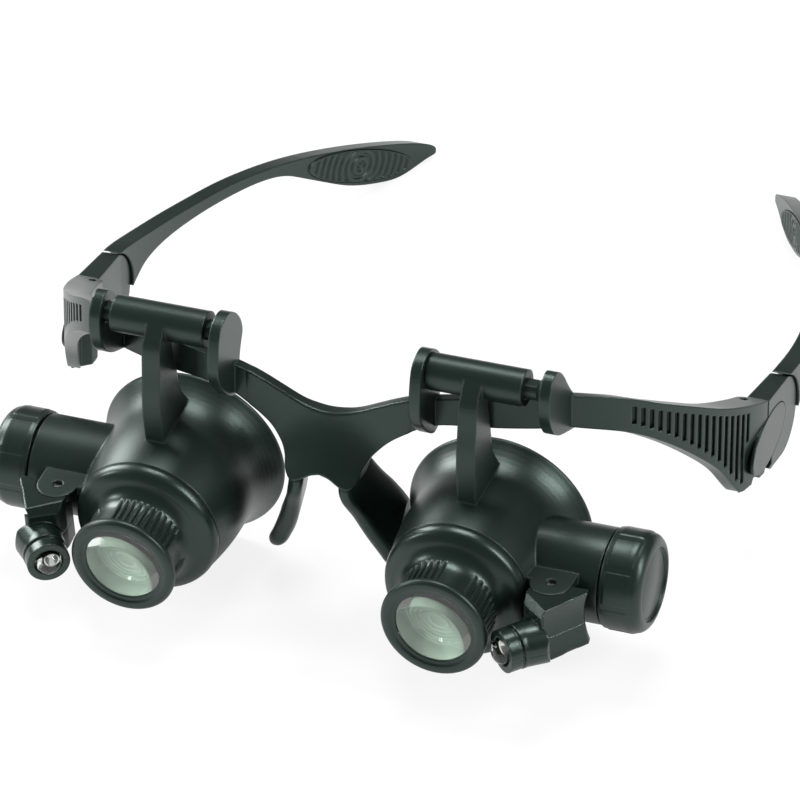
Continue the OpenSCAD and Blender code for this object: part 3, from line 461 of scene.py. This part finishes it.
class MAGNIFIER_PG_colours(bpy.types.PropertyGroup):
    """Colours of the finishes and of the studio."""
    body: FloatVectorProperty(name="Body", description="Satin plastic of the pods and the frame",
                              subtype="COLOR", size=3, default=(0.0052, 0.0105, 0.0085), min=0, max=1)
    lamp: FloatVectorProperty(name="Lamps", description="Smoother plastic of the lamps",
                              subtype="COLOR", size=3, default=(0.0050, 0.0100, 0.0080), min=0, max=1)
    pad: FloatVectorProperty(name="Pads", description="Grip pads on the temples",
                             subtype="COLOR", size=3, default=(0.0085, 0.0145, 0.0120), min=0, max=1)
    glass: FloatVectorProperty(name="Glass", description="Tint of the lenses",
                               subtype="COLOR", size=3, default=(0.88, 0.95, 0.90), min=0, max=1)
    floor: FloatVectorProperty(name="Floor", description="Studio floor",
                               subtype="COLOR", size=3, default=(0.86, 0.86, 0.85), min=0, max=1)


class MAGNIFIER_OT_mouldings(bpy.types.Operator):
    """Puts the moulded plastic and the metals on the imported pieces"""
    bl_idname = "magnifier.mouldings"
    bl_label = "Mouldings"

    def execute(self, context):
        c = context.scene.magnifier_colours
        body = moulded("Satin body plastic", c.body, 0.37, grain=0.3, edge_radius=0.0006)
        paler = [v * 1.15 for v in c.body]
        frame_look = moulded("Satin frame plastic", paler, 0.33, grain=0.24, edge_radius=0.0005)
        lamp = moulded("Smooth lamp plastic", c.lamp, 0.27, grain=0.1, edge_radius=0.0005)
        rod = moulded("Rod plastic", [v * 1.2 for v in c.body], 0.4, edge_radius=0.0003)
        steel = metal("Steel", (0.6, 0.61, 0.62), 0.28)
        brass = metal("Brass", (0.75, 0.6, 0.32), 0.3)
        put_finish(frame_look, "front_frame", *both("fold_knuckle", "temple_arm"))
        put_finish(body, *both("pod_shell"))
        put_finish(lamp, *both("lamp_upper_shell", "lamp_lower_shell"))
        put_finish(rod, *both("hinge_rod"))
        put_finish(steel, *both("cap_spring", "coin_cells", "lamp_pin", "fold_pin", "tilt_pin"))
        put_finish(brass, *both("battery_contact"))
        return {"FINISHED"}


# Bridge: edges seen from the front as (x, z), and the line below which the keel takes over from the brow

BROW_TOP = [(-3, -13.3), (0, -13.5), (3, -13.2), (6, -12.4), (9.5, -10.9), (13, -9.4), (16.5, -8.2),
            (21, -7.2), (30, -5.8)]
BRIDGE_LOW = [(-1.8, -25), (0, -24.5), (1.8, -25), (3.2, -25.8), (4.4, -26.4), (5.6, -26.6), (6.6, -25.8),
              (7.25, -24.6), (7.5, -23.1), (8.3, -21.4), (9.6, -19.8), (11.3, -18.1), (13.5, -16.4),
              (16.3, -14.7), (19.5, -13.1), (24, -12)]
KEEL_JOIN = [(0, -17), (4, -17.4), (7, -19), (9, -21.5), (10, -26)]
# The skin reaches this far to each side, stands proud of the part and sinks into it from SINK_X outward
BRIDGE_HALF = 18
BRIDGE_PROUD = 0.13
SINK_X = 15.5
SINK_DEPTH = 0.3
# How softly the face bends from brow to keel, and the rounding of the skin's edges
BRIDGE_BLEND = 2.6
BRIDGE_ROUND = 0.42
# Brow and keel curve back by a bow times x squared. At the back the keel lies further from the brow than
# at the face, by the middle gap and a bow of its own
BROW_BOW = 0.002
KEEL_BOW = 0.026
GAP_MID = 0.25
GAP_BOW = 0.027


def bridge_face(ax, brow, keel):
    """y of the bridge's face, the soft minimum of brow and keel: brow + (keel - brow) h - k h (1 - h)
    with h = clip(1/2 + (brow - keel) / 2k). The last term fades out from 13 to 17 mm off the middle."""
    h = np.clip(0.5 + (brow - keel) / (2 * BRIDGE_BLEND), 0, 1)
    return brow + (keel - brow) * h - BRIDGE_BLEND * h * (1 - h) * ease((17 - ax) / 4)


def bridge_back(ax, z, brow, keel):
    """y of the bridge's back: the brow's plus, round the join, an eased share of the gap to the keel. A gap
    to the rear starts 5 mm above the join, and one to the front opens in the 3 mm below it."""
    join = read_line(KEEL_JOIN, ax)
    gap = keel - brow + GAP_MID + GAP_BOW * ax ** 2
    early, late = ease((join + 5 - z) / 5.5), ease((join - z) / 3)
    return brow + BAR_T + np.maximum(gap, 0) * early + np.minimum(gap, 0) * late


def bridge_skin():
    """Skin of the bridge: each x has a loop down the face and up the back. Its rows lie at
    (1 - cos(pi t)) / 2 of the way down. Within b of its upper and lower edge the face and the back draw
    in by b - sqrt(b^2 - (b - depth)^2), where depth is the way from the edge."""
    columns, rows = 181, 49
    x = np.linspace(-BRIDGE_HALF, BRIDGE_HALF, columns)[:, None]
    ax = np.abs(x)
    proud = BRIDGE_PROUD - SINK_DEPTH * ease((ax - SINK_X) / 2)
    top = read_line(BROW_TOP, ax + BRIDGE_PROUD) + proud
    low = read_line(BRIDGE_LOW, ax - BRIDGE_PROUD) - proud
    z = top + (low - top) * (0.5 - 0.5 * np.cos(np.pi * np.linspace(0, 1, rows)[None, :]))
    depth = np.minimum(top - z, z - low)
    short = np.maximum(BRIDGE_ROUND - depth, 0)
    sink = BRIDGE_ROUND - np.sqrt(np.maximum(BRIDGE_ROUND ** 2 - short ** 2, 0))
    brow = BROW_FRONT + BROW_BOW * ax ** 2
    keel = KEEL_FRONT + KEEL_BOW * ax ** 2 + math.tan(math.radians(KEEL_LEAN)) * (z - KEEL_TOP)
    face = bridge_face(ax, brow, keel) - proud + sink
    back = bridge_back(ax, z, brow, keel) + proud - sink
    x = np.broadcast_to(x, z.shape)
    loop = np.concatenate([np.stack([x, face, z], -1), np.stack([x, back, z], -1)[:, ::-1]], 1)
    step = np.arange(rows - 1)
    end = np.stack([step, step + 1, 2 * rows - 2 - step, 2 * rows - 1 - step], -1)
    return [(on_side(loop, "left"), grid_faces(columns, 2 * rows, False, True)),
            (on_side(loop[0], "left"), end), (on_side(loop[-1], "left"), end)]


# Nose leaves: outer face from the front as (x, z), front and rear edges from the side as (y, z)

LEAF_OUTER = [(6.1, -22.5), (6.4, -25.2), (6.8, -28.6), (7.5, -32.6), (8.7, -37), (10.3, -41.5),
              (11.6, -44.6), (12.4, -47)]
LEAF_FRONT = [(0.4, -22), (-0.7, -24), (-1.5, -25.6), (-2.1, -27.4), (-1.6, -30), (0.8, -34), (3, -39),
              (4.7, -43.4), (5.4, -47)]
LEAF_BACK = [(4, -22), (5.4, -24.4), (7.6, -27.4), (10.2, -30.6), (12.5, -34.2), (13.6, -37.4),
             (12.9, -41), (11.2, -44.2), (9.6, -47)]
LEAF_TOP = -22.6
LEAF_LOW = -47
# How far it stands out beyond those lines, and how far its middle lies inward of the pad's
LEAF_PROUD_X = 0.35
LEAF_PROUD_Y = 0.8
LEAF_IN = 0.25
# Room between a leaf and the rear rim of a bell that swings past it
LEAF_ROOM = 0.3


def end_close(z, start, reach):
    """sqrt(1 - t^2), with t growing from 0 at start to 1 at reach past it: it closes a leaf's end."""
    t = np.maximum((z - start) / reach, 0)
    return np.sqrt(np.clip(1 - t ** 2, 0, 1))


def nose_leaf(side):
    """Leaf over a nose pad. At each height it is a stadium: round ends of radius half_x, joined by straight
    sides 2 (half_y - half_x) long. Both shrink to nothing at the leaf's ends. It splays out with y by the
    tangent of its angle, and x is held clear of the circle of the bell's rear rim."""
    rows, columns = 90, 64
    z = np.linspace(LEAF_TOP, LEAF_LOW, rows)[:, None]
    outer, front, back = (read_line(line, z, by=1) for line in (LEAF_OUTER, LEAF_FRONT, LEAF_BACK))
    thick = PAD_T + 0.3 + PAD_SWELL * ease((-30 - z) / 12)
    close = end_close(z, -44, -3) * end_close(z, -24, 1.4)
    half_x = (thick / 2 + LEAF_PROUD_X) * close
    half_y = ((back - front) / 2 + LEAF_PROUD_Y) * close
    a = full_turn(columns)[None, :]
    ahead = np.sign(np.sin(a)) * (np.abs(np.sin(a)) > 1e-6)
    y = (front + back) / 2 + half_x * np.sin(a) + (half_y - half_x) * ahead
    splay = math.radians(PAD_SPLAY)
    x = (outer - thick / 2 - LEAF_IN + half_x * np.cos(a)) / math.cos(splay) + y * math.tan(splay)
    rim = BELL_BACK_R + LEAF_ROOM
    reach = np.sqrt(np.maximum(rim ** 2 - (z + POD_DROP) ** 2, 0))
    nearest = ROD_MID + min(SLIDE.values()) - reach
    x = np.where(np.abs(z + POD_DROP) < rim, np.minimum(x, nearest), x)
    points = np.stack([x, y, np.broadcast_to(z, x.shape)], -1)
    return on_side(points, side), grid_faces(rows, columns, False, True)


class MAGNIFIER_OT_bridge(bpy.types.Operator):
    """Makes the smooth skin over the bridge between the eyes, and the leaves over the nose pads"""
    bl_idname = "magnifier.bridge"
    bl_label = "Bridge"

    def execute(self, context):
        look = bpy.data.materials["Satin frame plastic"]
        add_piece("bridge_skin", bridge_skin(), "frame", look, crease=50)
        for side in SIDES:
            add_piece(f"{side}_nose_leaf", [nose_leaf(side)], "frame", look, crease=50)
        return {"FINISHED"}


# Lens units: profiles of (radius, y)

RIB_FRONT = -25.8
RIB_BACK = -17.6
# Share of the cosine that is cut off under a rib, and the share that its sloping sides take
RIB_CUT = 0.38
RIB_SLOPE = 0.3
BORE_R = 8.0
# Radii between which the baffle's rings lie, their number and the height of their steps
BAFFLE_R = 5.8
STOP_R = 2.4
BAFFLE_RINGS = 19
BAFFLE_STEP = 0.16


def rib_mask(angle, middle, step):
    """1 on the ribs and 0 between: equal groups spread round the barrel, the ribs of each a step apart
    and about half a step wide, their sloping sides cut from a cosine over the step."""
    share = 2 * np.pi / RIB_GROUPS
    place = ((angle - math.radians(middle) + share / 2) % share - share / 2) / step
    return ease((half_wave(place) - RIB_CUT) / RIB_SLOPE) * (np.abs(place) < RIBS / 2)


def lens_unit(side, sizes):
    """Dome, ribbed barrel, plain bore and spigot, one loop turned about the lens axis. On the ribs the
    barrel's radius rises to the crest wherever it is smaller."""
    turns = 720
    outer = smooth_line([(BELL_FRONT_R, -14.6), (BELL_FRONT_R, -15.5), (13.5, -16.7), (12.3, -17.5),
                         (11, -18), (9.9, -18.9), (9.2, -20.2), (BARREL_R, -22),
                         (BARREL_R, -BARREL_FRONT)])
    bore = [(BORE_R, -BARREL_FRONT), (BORE_R, -18.2), (9.4, -17.4)]
    spigot_end = SPIGOT_LEN - BELL_FRONT
    spigot = [(SPIGOT_R - SPIGOT_WALL, -BELL_FRONT), (SPIGOT_R - SPIGOT_WALL, spigot_end),
              (SPIGOT_R, spigot_end), (SPIGOT_R, -14.6)]
    profile = np.concatenate([outer, bore, spigot])
    along = profile[:, 1]
    ribbed = (np.arange(len(profile)) < len(outer)) & (along < RIB_BACK) & (along > RIB_FRONT)
    ribs = rib_mask(full_turn(turns)[:, None], LENS_TURN[side], sizes.rib_step)
    radius = np.broadcast_to(profile[:, 0], (turns, len(profile)))
    crest = BARREL_R + sizes.rib_height
    radius = np.where(ribbed & (radius < crest), radius + (crest - radius) * ribs, radius)
    return turned(profile, turns, on_pod, side, ring=True, radius=radius)


def rim_ring(side):
    """Rounded ring before the barrel, with the seat of the glass inside it."""
    back = -BARREL_FRONT - 0.01
    front = smooth_line([(7.55, -27.6), (8.1, -27.75), (8.5, -28.0), (9.1, -RIM_FRONT), (9.8, -27.95),
                         (10.22, -27.5), (RIM_R, -27), (10.2, -26.5), (9.9, back)], 5)
    seat_in, seat_out = [(7.4, -27.38), (7.4, -27.5)], [(8.05, back), (8.05, -27.38)]
    return turned(np.concatenate([seat_in, front, seat_out]), 192, on_pod, side, ring=True)


def baffle(side):
    """Baffle behind the glass: a leaning wall, then a cone of rings that runs 2 mm back to the stop, every
    other ring a step further back."""
    radius = np.linspace(BAFFLE_R, STOP_R, BAFFLE_RINGS)
    cone = 2 * (BAFFLE_R - radius) / (BAFFLE_R - STOP_R)
    tread = -21.7 + cone + BAFFLE_STEP * (np.arange(BAFFLE_RINGS) % 2)
    wall, back = [(7.95, -26.1), (7.8, -26.1), (BAFFLE_R, -21.9)], [(STOP_R, -18.6), (7.95, -18.6)]
    profile = np.concatenate([wall, np.stack([radius, tread], -1), back])
    return turned(profile, 128, on_pod, side, ring=True)


class MAGNIFIER_OT_lens_units(bpy.types.Operator):
    """Makes the twist-in lens units: dome and ribbed barrel, rim ring and stepped baffle"""
    bl_idname = "magnifier.lens_units"
    bl_label = "Lens units"

    def execute(self, context):
        sizes, c = context.scene.magnifier_sizes, context.scene.magnifier_colours
        dome = moulded("Lens unit plastic", c.body, 0.31, grain=0.2, edge_radius=0.0003)
        ring = moulded("Rim plastic", [v * 0.9 for v in c.body], 0.38, grain=0.15, edge_radius=0.0002)
        # The baffle's pale colour is painted light: it stands in for the light seen through the lens from
        # behind, and for the bright crescent in the glass
        painted_light_look = moulded("Pale baffle painted light", (0.38, 0.44, 0.39), 0.25, grain=0.1, edge_radius=0.0001)
        for side in SIDES:
            unit = f"{side}_lens_unit"
            add_piece(unit, [lens_unit(side, sizes)], unit, dome, [f"{side}_lens_housing"])
            add_piece(f"{side}_rim_ring", [rim_ring(side)], unit, ring, [f"{side}_lens_rim"])
            add_piece(f"{side}_baffle", [baffle(side)], unit, painted_light_look)
        return {"FINISHED"}


# Glass: y of its middle, half its edge, and its two bulges, the rear one on a slightly smaller circle

GLASS_MID = -26.75
GLASS_EDGE = 0.5
GLASS_FIT = 0.02
FRONT_BULGE = 0.7
REAR_BULGE = 2.6
REAR_SHARE = 0.96


def lens(side):
    """Objective lens: before and behind its edge it bulges by b (1 - (r / R)^2)."""
    r = np.linspace(0, GLASS_R - GLASS_FIT, 25)
    bow = 1 - (r / GLASS_R) ** 2
    front = GLASS_MID - GLASS_EDGE - FRONT_BULGE * bow
    rear = GLASS_MID + GLASS_EDGE + REAR_BULGE * bow
    profile = np.stack([np.append(r, r[::-1] * REAR_SHARE), np.append(front, rear[::-1])], -1)
    return turned(profile, 128, on_pod, side)


class MAGNIFIER_OT_glass(bpy.types.Operator):
    """Makes the two objective lenses"""
    bl_idname = "magnifier.glass"
    bl_label = "Glass"

    def execute(self, context):
        look = clear("Lens glass", context.scene.magnifier_colours.glass, 0.0, 1.6, 0.012)
        for side in SIDES:
            add_piece(f"{side}_lens_glass", [lens(side)], f"{side}_lens_unit", look,
                      [f"{side}_objective_lens"])
        return {"FINISHED"}


# Battery caps: profile of (radius, distance outward from the lens axis)

CAP_FOOT = 26.16
PLUG_R = 8.2
# The panels' height and the ends of the band that they stand in
PANEL_HEIGHT = 0.14
PANEL_FROM = 26.9
PANEL_TO = 32.2
# Half a groove and a panel's sloping side, as shares of the way from groove to groove
GROOVE_SHARE = 0.066
SLOPE_SHARE = 0.03


def cap(side, sizes):
    """Screw cap on its plug, with a rounded shoulder and a sunk end, turned about the tube. Round its
    side stand equal panels with eased edges, a groove between each two."""
    turns = 480
    plug = [(0, 22.4), (PLUG_R, 22.4), (PLUG_R, CAP_FOOT)]
    shell = smooth_line([(9.3, CAP_FOOT), (CAP_R, 26.5), (CAP_R, 28), (CAP_R, 30), (CAP_R, 31.4),
                         (9.2, 32.8), (8.4, 33.7), (7.5, 34.02), (7.1, 33.95)])
    face = [(6.9, 33.5), (6.4, 33.45), (6.1, 33.6), (0, 33.65)]
    profile = np.concatenate([plug, shell, face])
    along = profile[:, 1]
    share = (full_turn(turns)[:, None] * sizes.cap_panels / (2 * np.pi)) % 1
    panel = ease((0.5 - np.abs(share - 0.5) - GROOVE_SHARE) / SLOPE_SHARE)
    outside = profile[:, 0] > PLUG_R + 0.3
    band = ease((along - PANEL_FROM) / 0.3) * ease((PANEL_TO - along) / 0.5) * outside
    return turned(profile, turns, on_tube, side, radius=profile[:, 0] + band * panel * PANEL_HEIGHT)


class MAGNIFIER_OT_caps(bpy.types.Operator):
    """Makes the battery caps with their grip panels and sunk ends"""
    bl_idname = "magnifier.caps"
    bl_label = "Battery caps"

    def execute(self, context):
        sizes, c = context.scene.magnifier_sizes, context.scene.magnifier_colours
        look = moulded("Cap plastic", c.body, 0.36, grain=0.2, edge_radius=0.0003)
        for side in SIDES:
            add_piece(f"{side}_cap", [cap(side, sizes)], f"{side}_cap", look,
                      [f"{side}_battery_cap"])
        return {"FINISHED"}


# Diodes: profiles of (radius, y) behind the front of the lamp's nose

DIODE_R = 2.49
DIODE_BACK = 5.6
DIODE_SHIFT = 0.1
# How far the axes of the two leads stand off the nose's
BOWL_X = -0.45
POST_X = 0.95


def diode(side):
    """Clear diode with a domed front, turned about the nose."""
    dome = smooth_line([(0, -1.95), (0.9, -1.82), (1.75, -1.35), (2.3, -0.5), (DIODE_R, 0.6),
                        (DIODE_R, 2), (DIODE_R, DIODE_BACK)])
    profile = np.concatenate([dome, [(0, DIODE_BACK)]]) + (0, DIODE_SHIFT)
    return turned(profile, 96, on_nose, side)


def diode_leads(side):
    """The lead with the reflector bowl and the plain lead beside it, each turned about its own axis."""
    bowl = np.array([(0, 1.5), (0.45, 1.45), (0.8, 0.75), (0.95, 0.7), (0.9, 1.6), (0.4, 2.0),
                     (0.35, 5.2), (0, 5.2)])
    post = np.array([(0, 0.9), (0.3, 0.95), (0.34, 1.5), (0.26, 1.8), (0.26, 5.2), (0, 5.2)])
    return [turned(bowl, 32, on_nose, side, axis=BOWL_X), turned(post, 32, on_nose, side, axis=POST_X)]


class MAGNIFIER_OT_lamps(bpy.types.Operator):
    """Makes the clear diodes with their reflector cups and leads"""
    bl_idname = "magnifier.lamps"
    bl_label = "Diodes"

    def execute(self, context):
        epoxy = clear("Diode epoxy", (0.93, 0.97, 0.95), 0.02, 1.5, 0.03)
        cup = metal("Diode metal", (0.83, 0.84, 0.82), 0.2)
        for side in SIDES:
            add_piece(f"{side}_diode", [diode(side)], f"{side}_lamp", epoxy, [f"{side}_lamp_led"])
            add_piece(f"{side}_diode_leads", diode_leads(side), f"{side}_lamp", cup)
        return {"FINISHED"}


# Grip pads: middle and turn of the oval on the arm's inner face, and half its length and height

GRIP_Y = 133
GRIP_Z = -31.9
GRIP_TURN = -18.8
GRIP_HALF = 13.9
GRIP_HIGH = 3.4
# How far the grooves, the rings over them and the rim round them rise from the arm
GROOVE_RISE = -0.05
RING_RISE = 0.4
RIM_RISE = 0.33


def arm_line(side):
    """Centre line of an arm from above, the cubic curve on four pulls that the part is drawn with."""
    front = KNUCKLE_OUT - ARM_FRONT_T / 2
    bow = ARM_BOW[side]
    p = np.array([(front, 56), (front - 1 + 1.3 * bow, ARM_END - 62), (51.8 + 0.9 * bow, ARM_END - 28),
                  (37.6 + 0.2 * bow, ARM_END + 0.5)])
    t = np.linspace(0, 1, 200)[:, None]
    return (1 - t) ** 3 * p[0] + 3 * (1 - t) ** 2 * t * p[1] + 3 * (1 - t) * t * t * p[2] + t ** 3 * p[3]


def inner_face(side, y):
    """x of the arm's inner face at y: the centre line moved in by half of the arm's thickness."""
    line = arm_line(side)
    half = (ARM_FRONT_T + (ARM_T - ARM_FRONT_T) * ease((line[:, 1] - 62) / 40)) / 2
    run = np.gradient(line, axis=0)
    inward = np.stack([-run[:, 1], run[:, 0]], -1) / np.linalg.norm(run, axis=1)[:, None]
    edge = line + half[:, None] * inward
    return np.interp(y, edge[:, 1], edge[:, 0])


def grip_pad(side, step):
    """Oval pad on a polar grid that follows the arm's inner face. It rises by an eased cosine of the
    distance from its middle, which gives the rings and the ribs that bend round them, and by a plain rim.
    The last two rows go down into the arm."""
    rho = np.append(np.linspace(0, 0.985, 90), [1.0, 1.0])[:, None]
    a = full_turn(240)[None, :]
    along, across = GRIP_HALF * rho * np.cos(a), GRIP_HIGH * rho * np.sin(a)
    rings = ease((half_wave(np.hypot(along, across) / step) - 0.2) / 0.45)
    rim = ease((rho - 0.9) / 0.06)
    rise = (GROOVE_RISE + RING_RISE * rings) * (1 - rim) + RIM_RISE * rim
    rise[-2:] = [[0.2], [-0.4]]
    y, z = turn(along, across, math.radians(GRIP_TURN))
    y, z = y + GRIP_Y, z + GRIP_Z
    points = np.stack([inner_face(side, y) - rise, y, z], -1)
    return on_arm(points, side), grid_faces(len(rho), a.shape[1], False, True)


class MAGNIFIER_OT_pads(bpy.types.Operator):
    """Makes the oval grip pads with rings in the middle and curved ribs beside them"""
    bl_idname = "magnifier.pads"
    bl_label = "Grip pads"

    def execute(self, context):
        step, colour = context.scene.magnifier_sizes.ring_step, context.scene.magnifier_colours.pad
        look = moulded("Pad plastic", colour, 0.45, grain=0.3, edge_radius=0.0002)
        for side in SIDES:
            add_piece(f"{side}_pad", [grip_pad(side, step)], f"{side}_temple", look,
                      [f"{side}_grip_pad"], crease=60)
        return {"FINISHED"}


# Studio: lights as name, place, aim, size in metres and watts; the front one stays out of reflections

LIGHTS = (("top", (-0.05, 0.25, 1.0), (0, -0.03, 0.02), (0.45, 0.3), 7.0),
          ("left", (-0.9, 0.35, 0.55), (-0.02, 0, 0.03), (0.35, 0.6), 10.5),
          ("right", (0.75, -0.1, 0.55), (0.02, -0.03, 0.03), (0.12, 0.5), 6.0),
          ("front", (-0.5, -0.85, 0.42), (0, -0.04, 0.02), (0.22, 0.22), 6.0),
          ("end", (-0.6, -0.2, 0.3), (-0.066, -0.01, 0.045), (0.12, 0.12), 1.2))
FLOOR_REACH = 4.0
WORLD_STRENGTH = 0.15

# Camera that the photo was taken with: degrees round its aim, metres, and millimetres of lens and sensor
CAMERA_AZIMUTH = 22.6954
CAMERA_ELEVATION = 34.5881
CAMERA_ROLL = -2.8256
CAMERA_AIM = (-0.00949, -0.00101, 0.00396)
CAMERA_DISTANCE = 1.33955
CAMERA_LENS = 310.954
CAMERA_SENSOR = 36


def facing(place, aim):
    """Matrix of a light at place whose -z looks at aim."""
    back = (Vector(place) - Vector(aim)).normalized()
    across = Vector((0, 0, 1)).cross(back).normalized()
    up = back.cross(across)
    return Matrix(((across.x, up.x, back.x, place[0]), (across.y, up.y, back.y, place[1]),
                   (across.z, up.z, back.z, place[2]), (0, 0, 0, 1)))


def orbit(azimuth, elevation, roll, aim, distance):
    """Camera matrix: azimuth and elevation round aim in degrees, then a roll about the line of sight."""
    a, e, r = (math.radians(v) for v in (azimuth, elevation, roll))
    back = np.array([math.sin(a) * math.cos(e), -math.cos(a) * math.cos(e), math.sin(e)])
    level = np.array([math.cos(a), math.sin(a), 0])
    across = level * math.cos(r) + np.cross(back, level) * math.sin(r)
    up = np.cross(back, across)
    eye = np.array(aim) + distance * back
    return Matrix([[across[i], up[i], back[i], eye[i]] for i in range(3)] + [[0, 0, 0, 1]])


def add_floor(scene):
    """Flat square floor round the part."""
    mesh = bpy.data.meshes.new("studio_floor")
    corners = [(-1, -1), (1, -1), (1, 1), (-1, 1)]
    mesh.from_pydata([(FLOOR_REACH * x, FLOOR_REACH * y, 0) for x, y in corners], [], [(0, 1, 2, 3)])
    mesh.materials.append(floor_finish(scene.magnifier_colours.floor))
    floor = bpy.data.objects.new("studio_floor", mesh)
    scene.collection.objects.link(floor)


def add_world(scene):
    """Faint even light from all sides, behind a background that is white to the camera."""
    world = bpy.data.worlds.new("Studio")
    scene.world = world
    world.use_nodes = True
    tree = world.node_tree
    faint = tree.nodes["Background"]
    faint.inputs["Color"].default_value = WHITE
    faint.inputs["Strength"].default_value = WORLD_STRENGTH
    white = node(tree, "ShaderNodeBackground", Color=WHITE, Strength=1.0)
    rays = node(tree, "ShaderNodeLightPath")
    mix = node(tree, "ShaderNodeMixShader")
    wire(tree, (rays, "Is Camera Ray", mix, "Fac"), (faint, 0, mix, 1), (white, 0, mix, 2),
         (mix, 0, tree.nodes["World Output"], "Surface"))


def add_light(scene, name, place, aim, size, watts):
    """Rectangular area light."""
    data = bpy.data.lights.new(name, "AREA")
    data.shape = "RECTANGLE"
    data.size, data.size_y = size
    data.energy = watts
    light = bpy.data.objects.new(name, data)
    scene.collection.objects.link(light)
    light.matrix_world = facing(place, aim)
    light.visible_glossy = name != "front"


class MAGNIFIER_OT_studio(bpy.types.Operator):
    """Sets the pale floor, the soft lights and the camera"""
    bl_idname = "magnifier.studio"
    bl_label = "Studio"

    def execute(self, context):
        scene = context.scene
        scene.view_settings.view_transform = "Standard"
        add_floor(scene)
        add_world(scene)
        for light in LIGHTS:
            add_light(scene, *light)
        camera = bpy.data.objects.new("camera", bpy.data.cameras.new("camera"))
        scene.collection.objects.link(camera)
        camera.data.sensor_width = CAMERA_SENSOR
        camera.data.lens = CAMERA_LENS
        camera.data.clip_end = 20
        camera.matrix_world = orbit(CAMERA_AZIMUTH, CAMERA_ELEVATION, CAMERA_ROLL, CAMERA_AIM,
                                    CAMERA_DISTANCE)
        scene.camera = camera
        return {"FINISHED"}


class MAGNIFIER_PT_panel(bpy.types.Panel):
    """Lists the steps of the finish"""
    bl_label = "Head Magnifier"
    bl_idname = "MAGNIFIER_PT_panel"
    bl_space_type = "VIEW_3D"
    bl_region_type = "UI"
    bl_category = "Magnifier"

    def draw(self, context):
        layout = self.layout
        for name in ("rib_height", "rib_step", "cap_panels", "ring_step"):
            layout.prop(context.scene.magnifier_sizes, name)
        for name in ("body", "lamp", "pad", "glass", "floor"):
            layout.prop(context.scene.magnifier_colours, name)
        for step in STEPS:
            layout.operator(step.bl_idname)


STEPS = (MAGNIFIER_OT_mouldings, MAGNIFIER_OT_bridge, MAGNIFIER_OT_lens_units, MAGNIFIER_OT_glass,
         MAGNIFIER_OT_caps, MAGNIFIER_OT_lamps, MAGNIFIER_OT_pads, MAGNIFIER_OT_studio)
CLASSES = (MAGNIFIER_PG_sizes, MAGNIFIER_PG_colours, *STEPS, MAGNIFIER_PT_panel)


def register():
    for cls in CLASSES:
        bpy.utils.register_class(cls)
    bpy.types.Scene.magnifier_sizes = PointerProperty(type=MAGNIFIER_PG_sizes)
    bpy.types.Scene.magnifier_colours = PointerProperty(type=MAGNIFIER_PG_colours)


def unregister():
    del bpy.types.Scene.magnifier_colours
    del bpy.types.Scene.magnifier_sizes
    for cls in reversed(CLASSES):
        bpy.utils.unregister_class(cls)


def main():
    register()
    bpy.ops.magnifier.mouldings()
    bpy.ops.magnifier.bridge()
    bpy.ops.magnifier.lens_units()
    bpy.ops.magnifier.glass()
    bpy.ops.magnifier.caps()
    bpy.ops.magnifier.lamps()
    bpy.ops.magnifier.pads()
    bpy.ops.magnifier.studio()


if __name__ == "__main__":
    main()
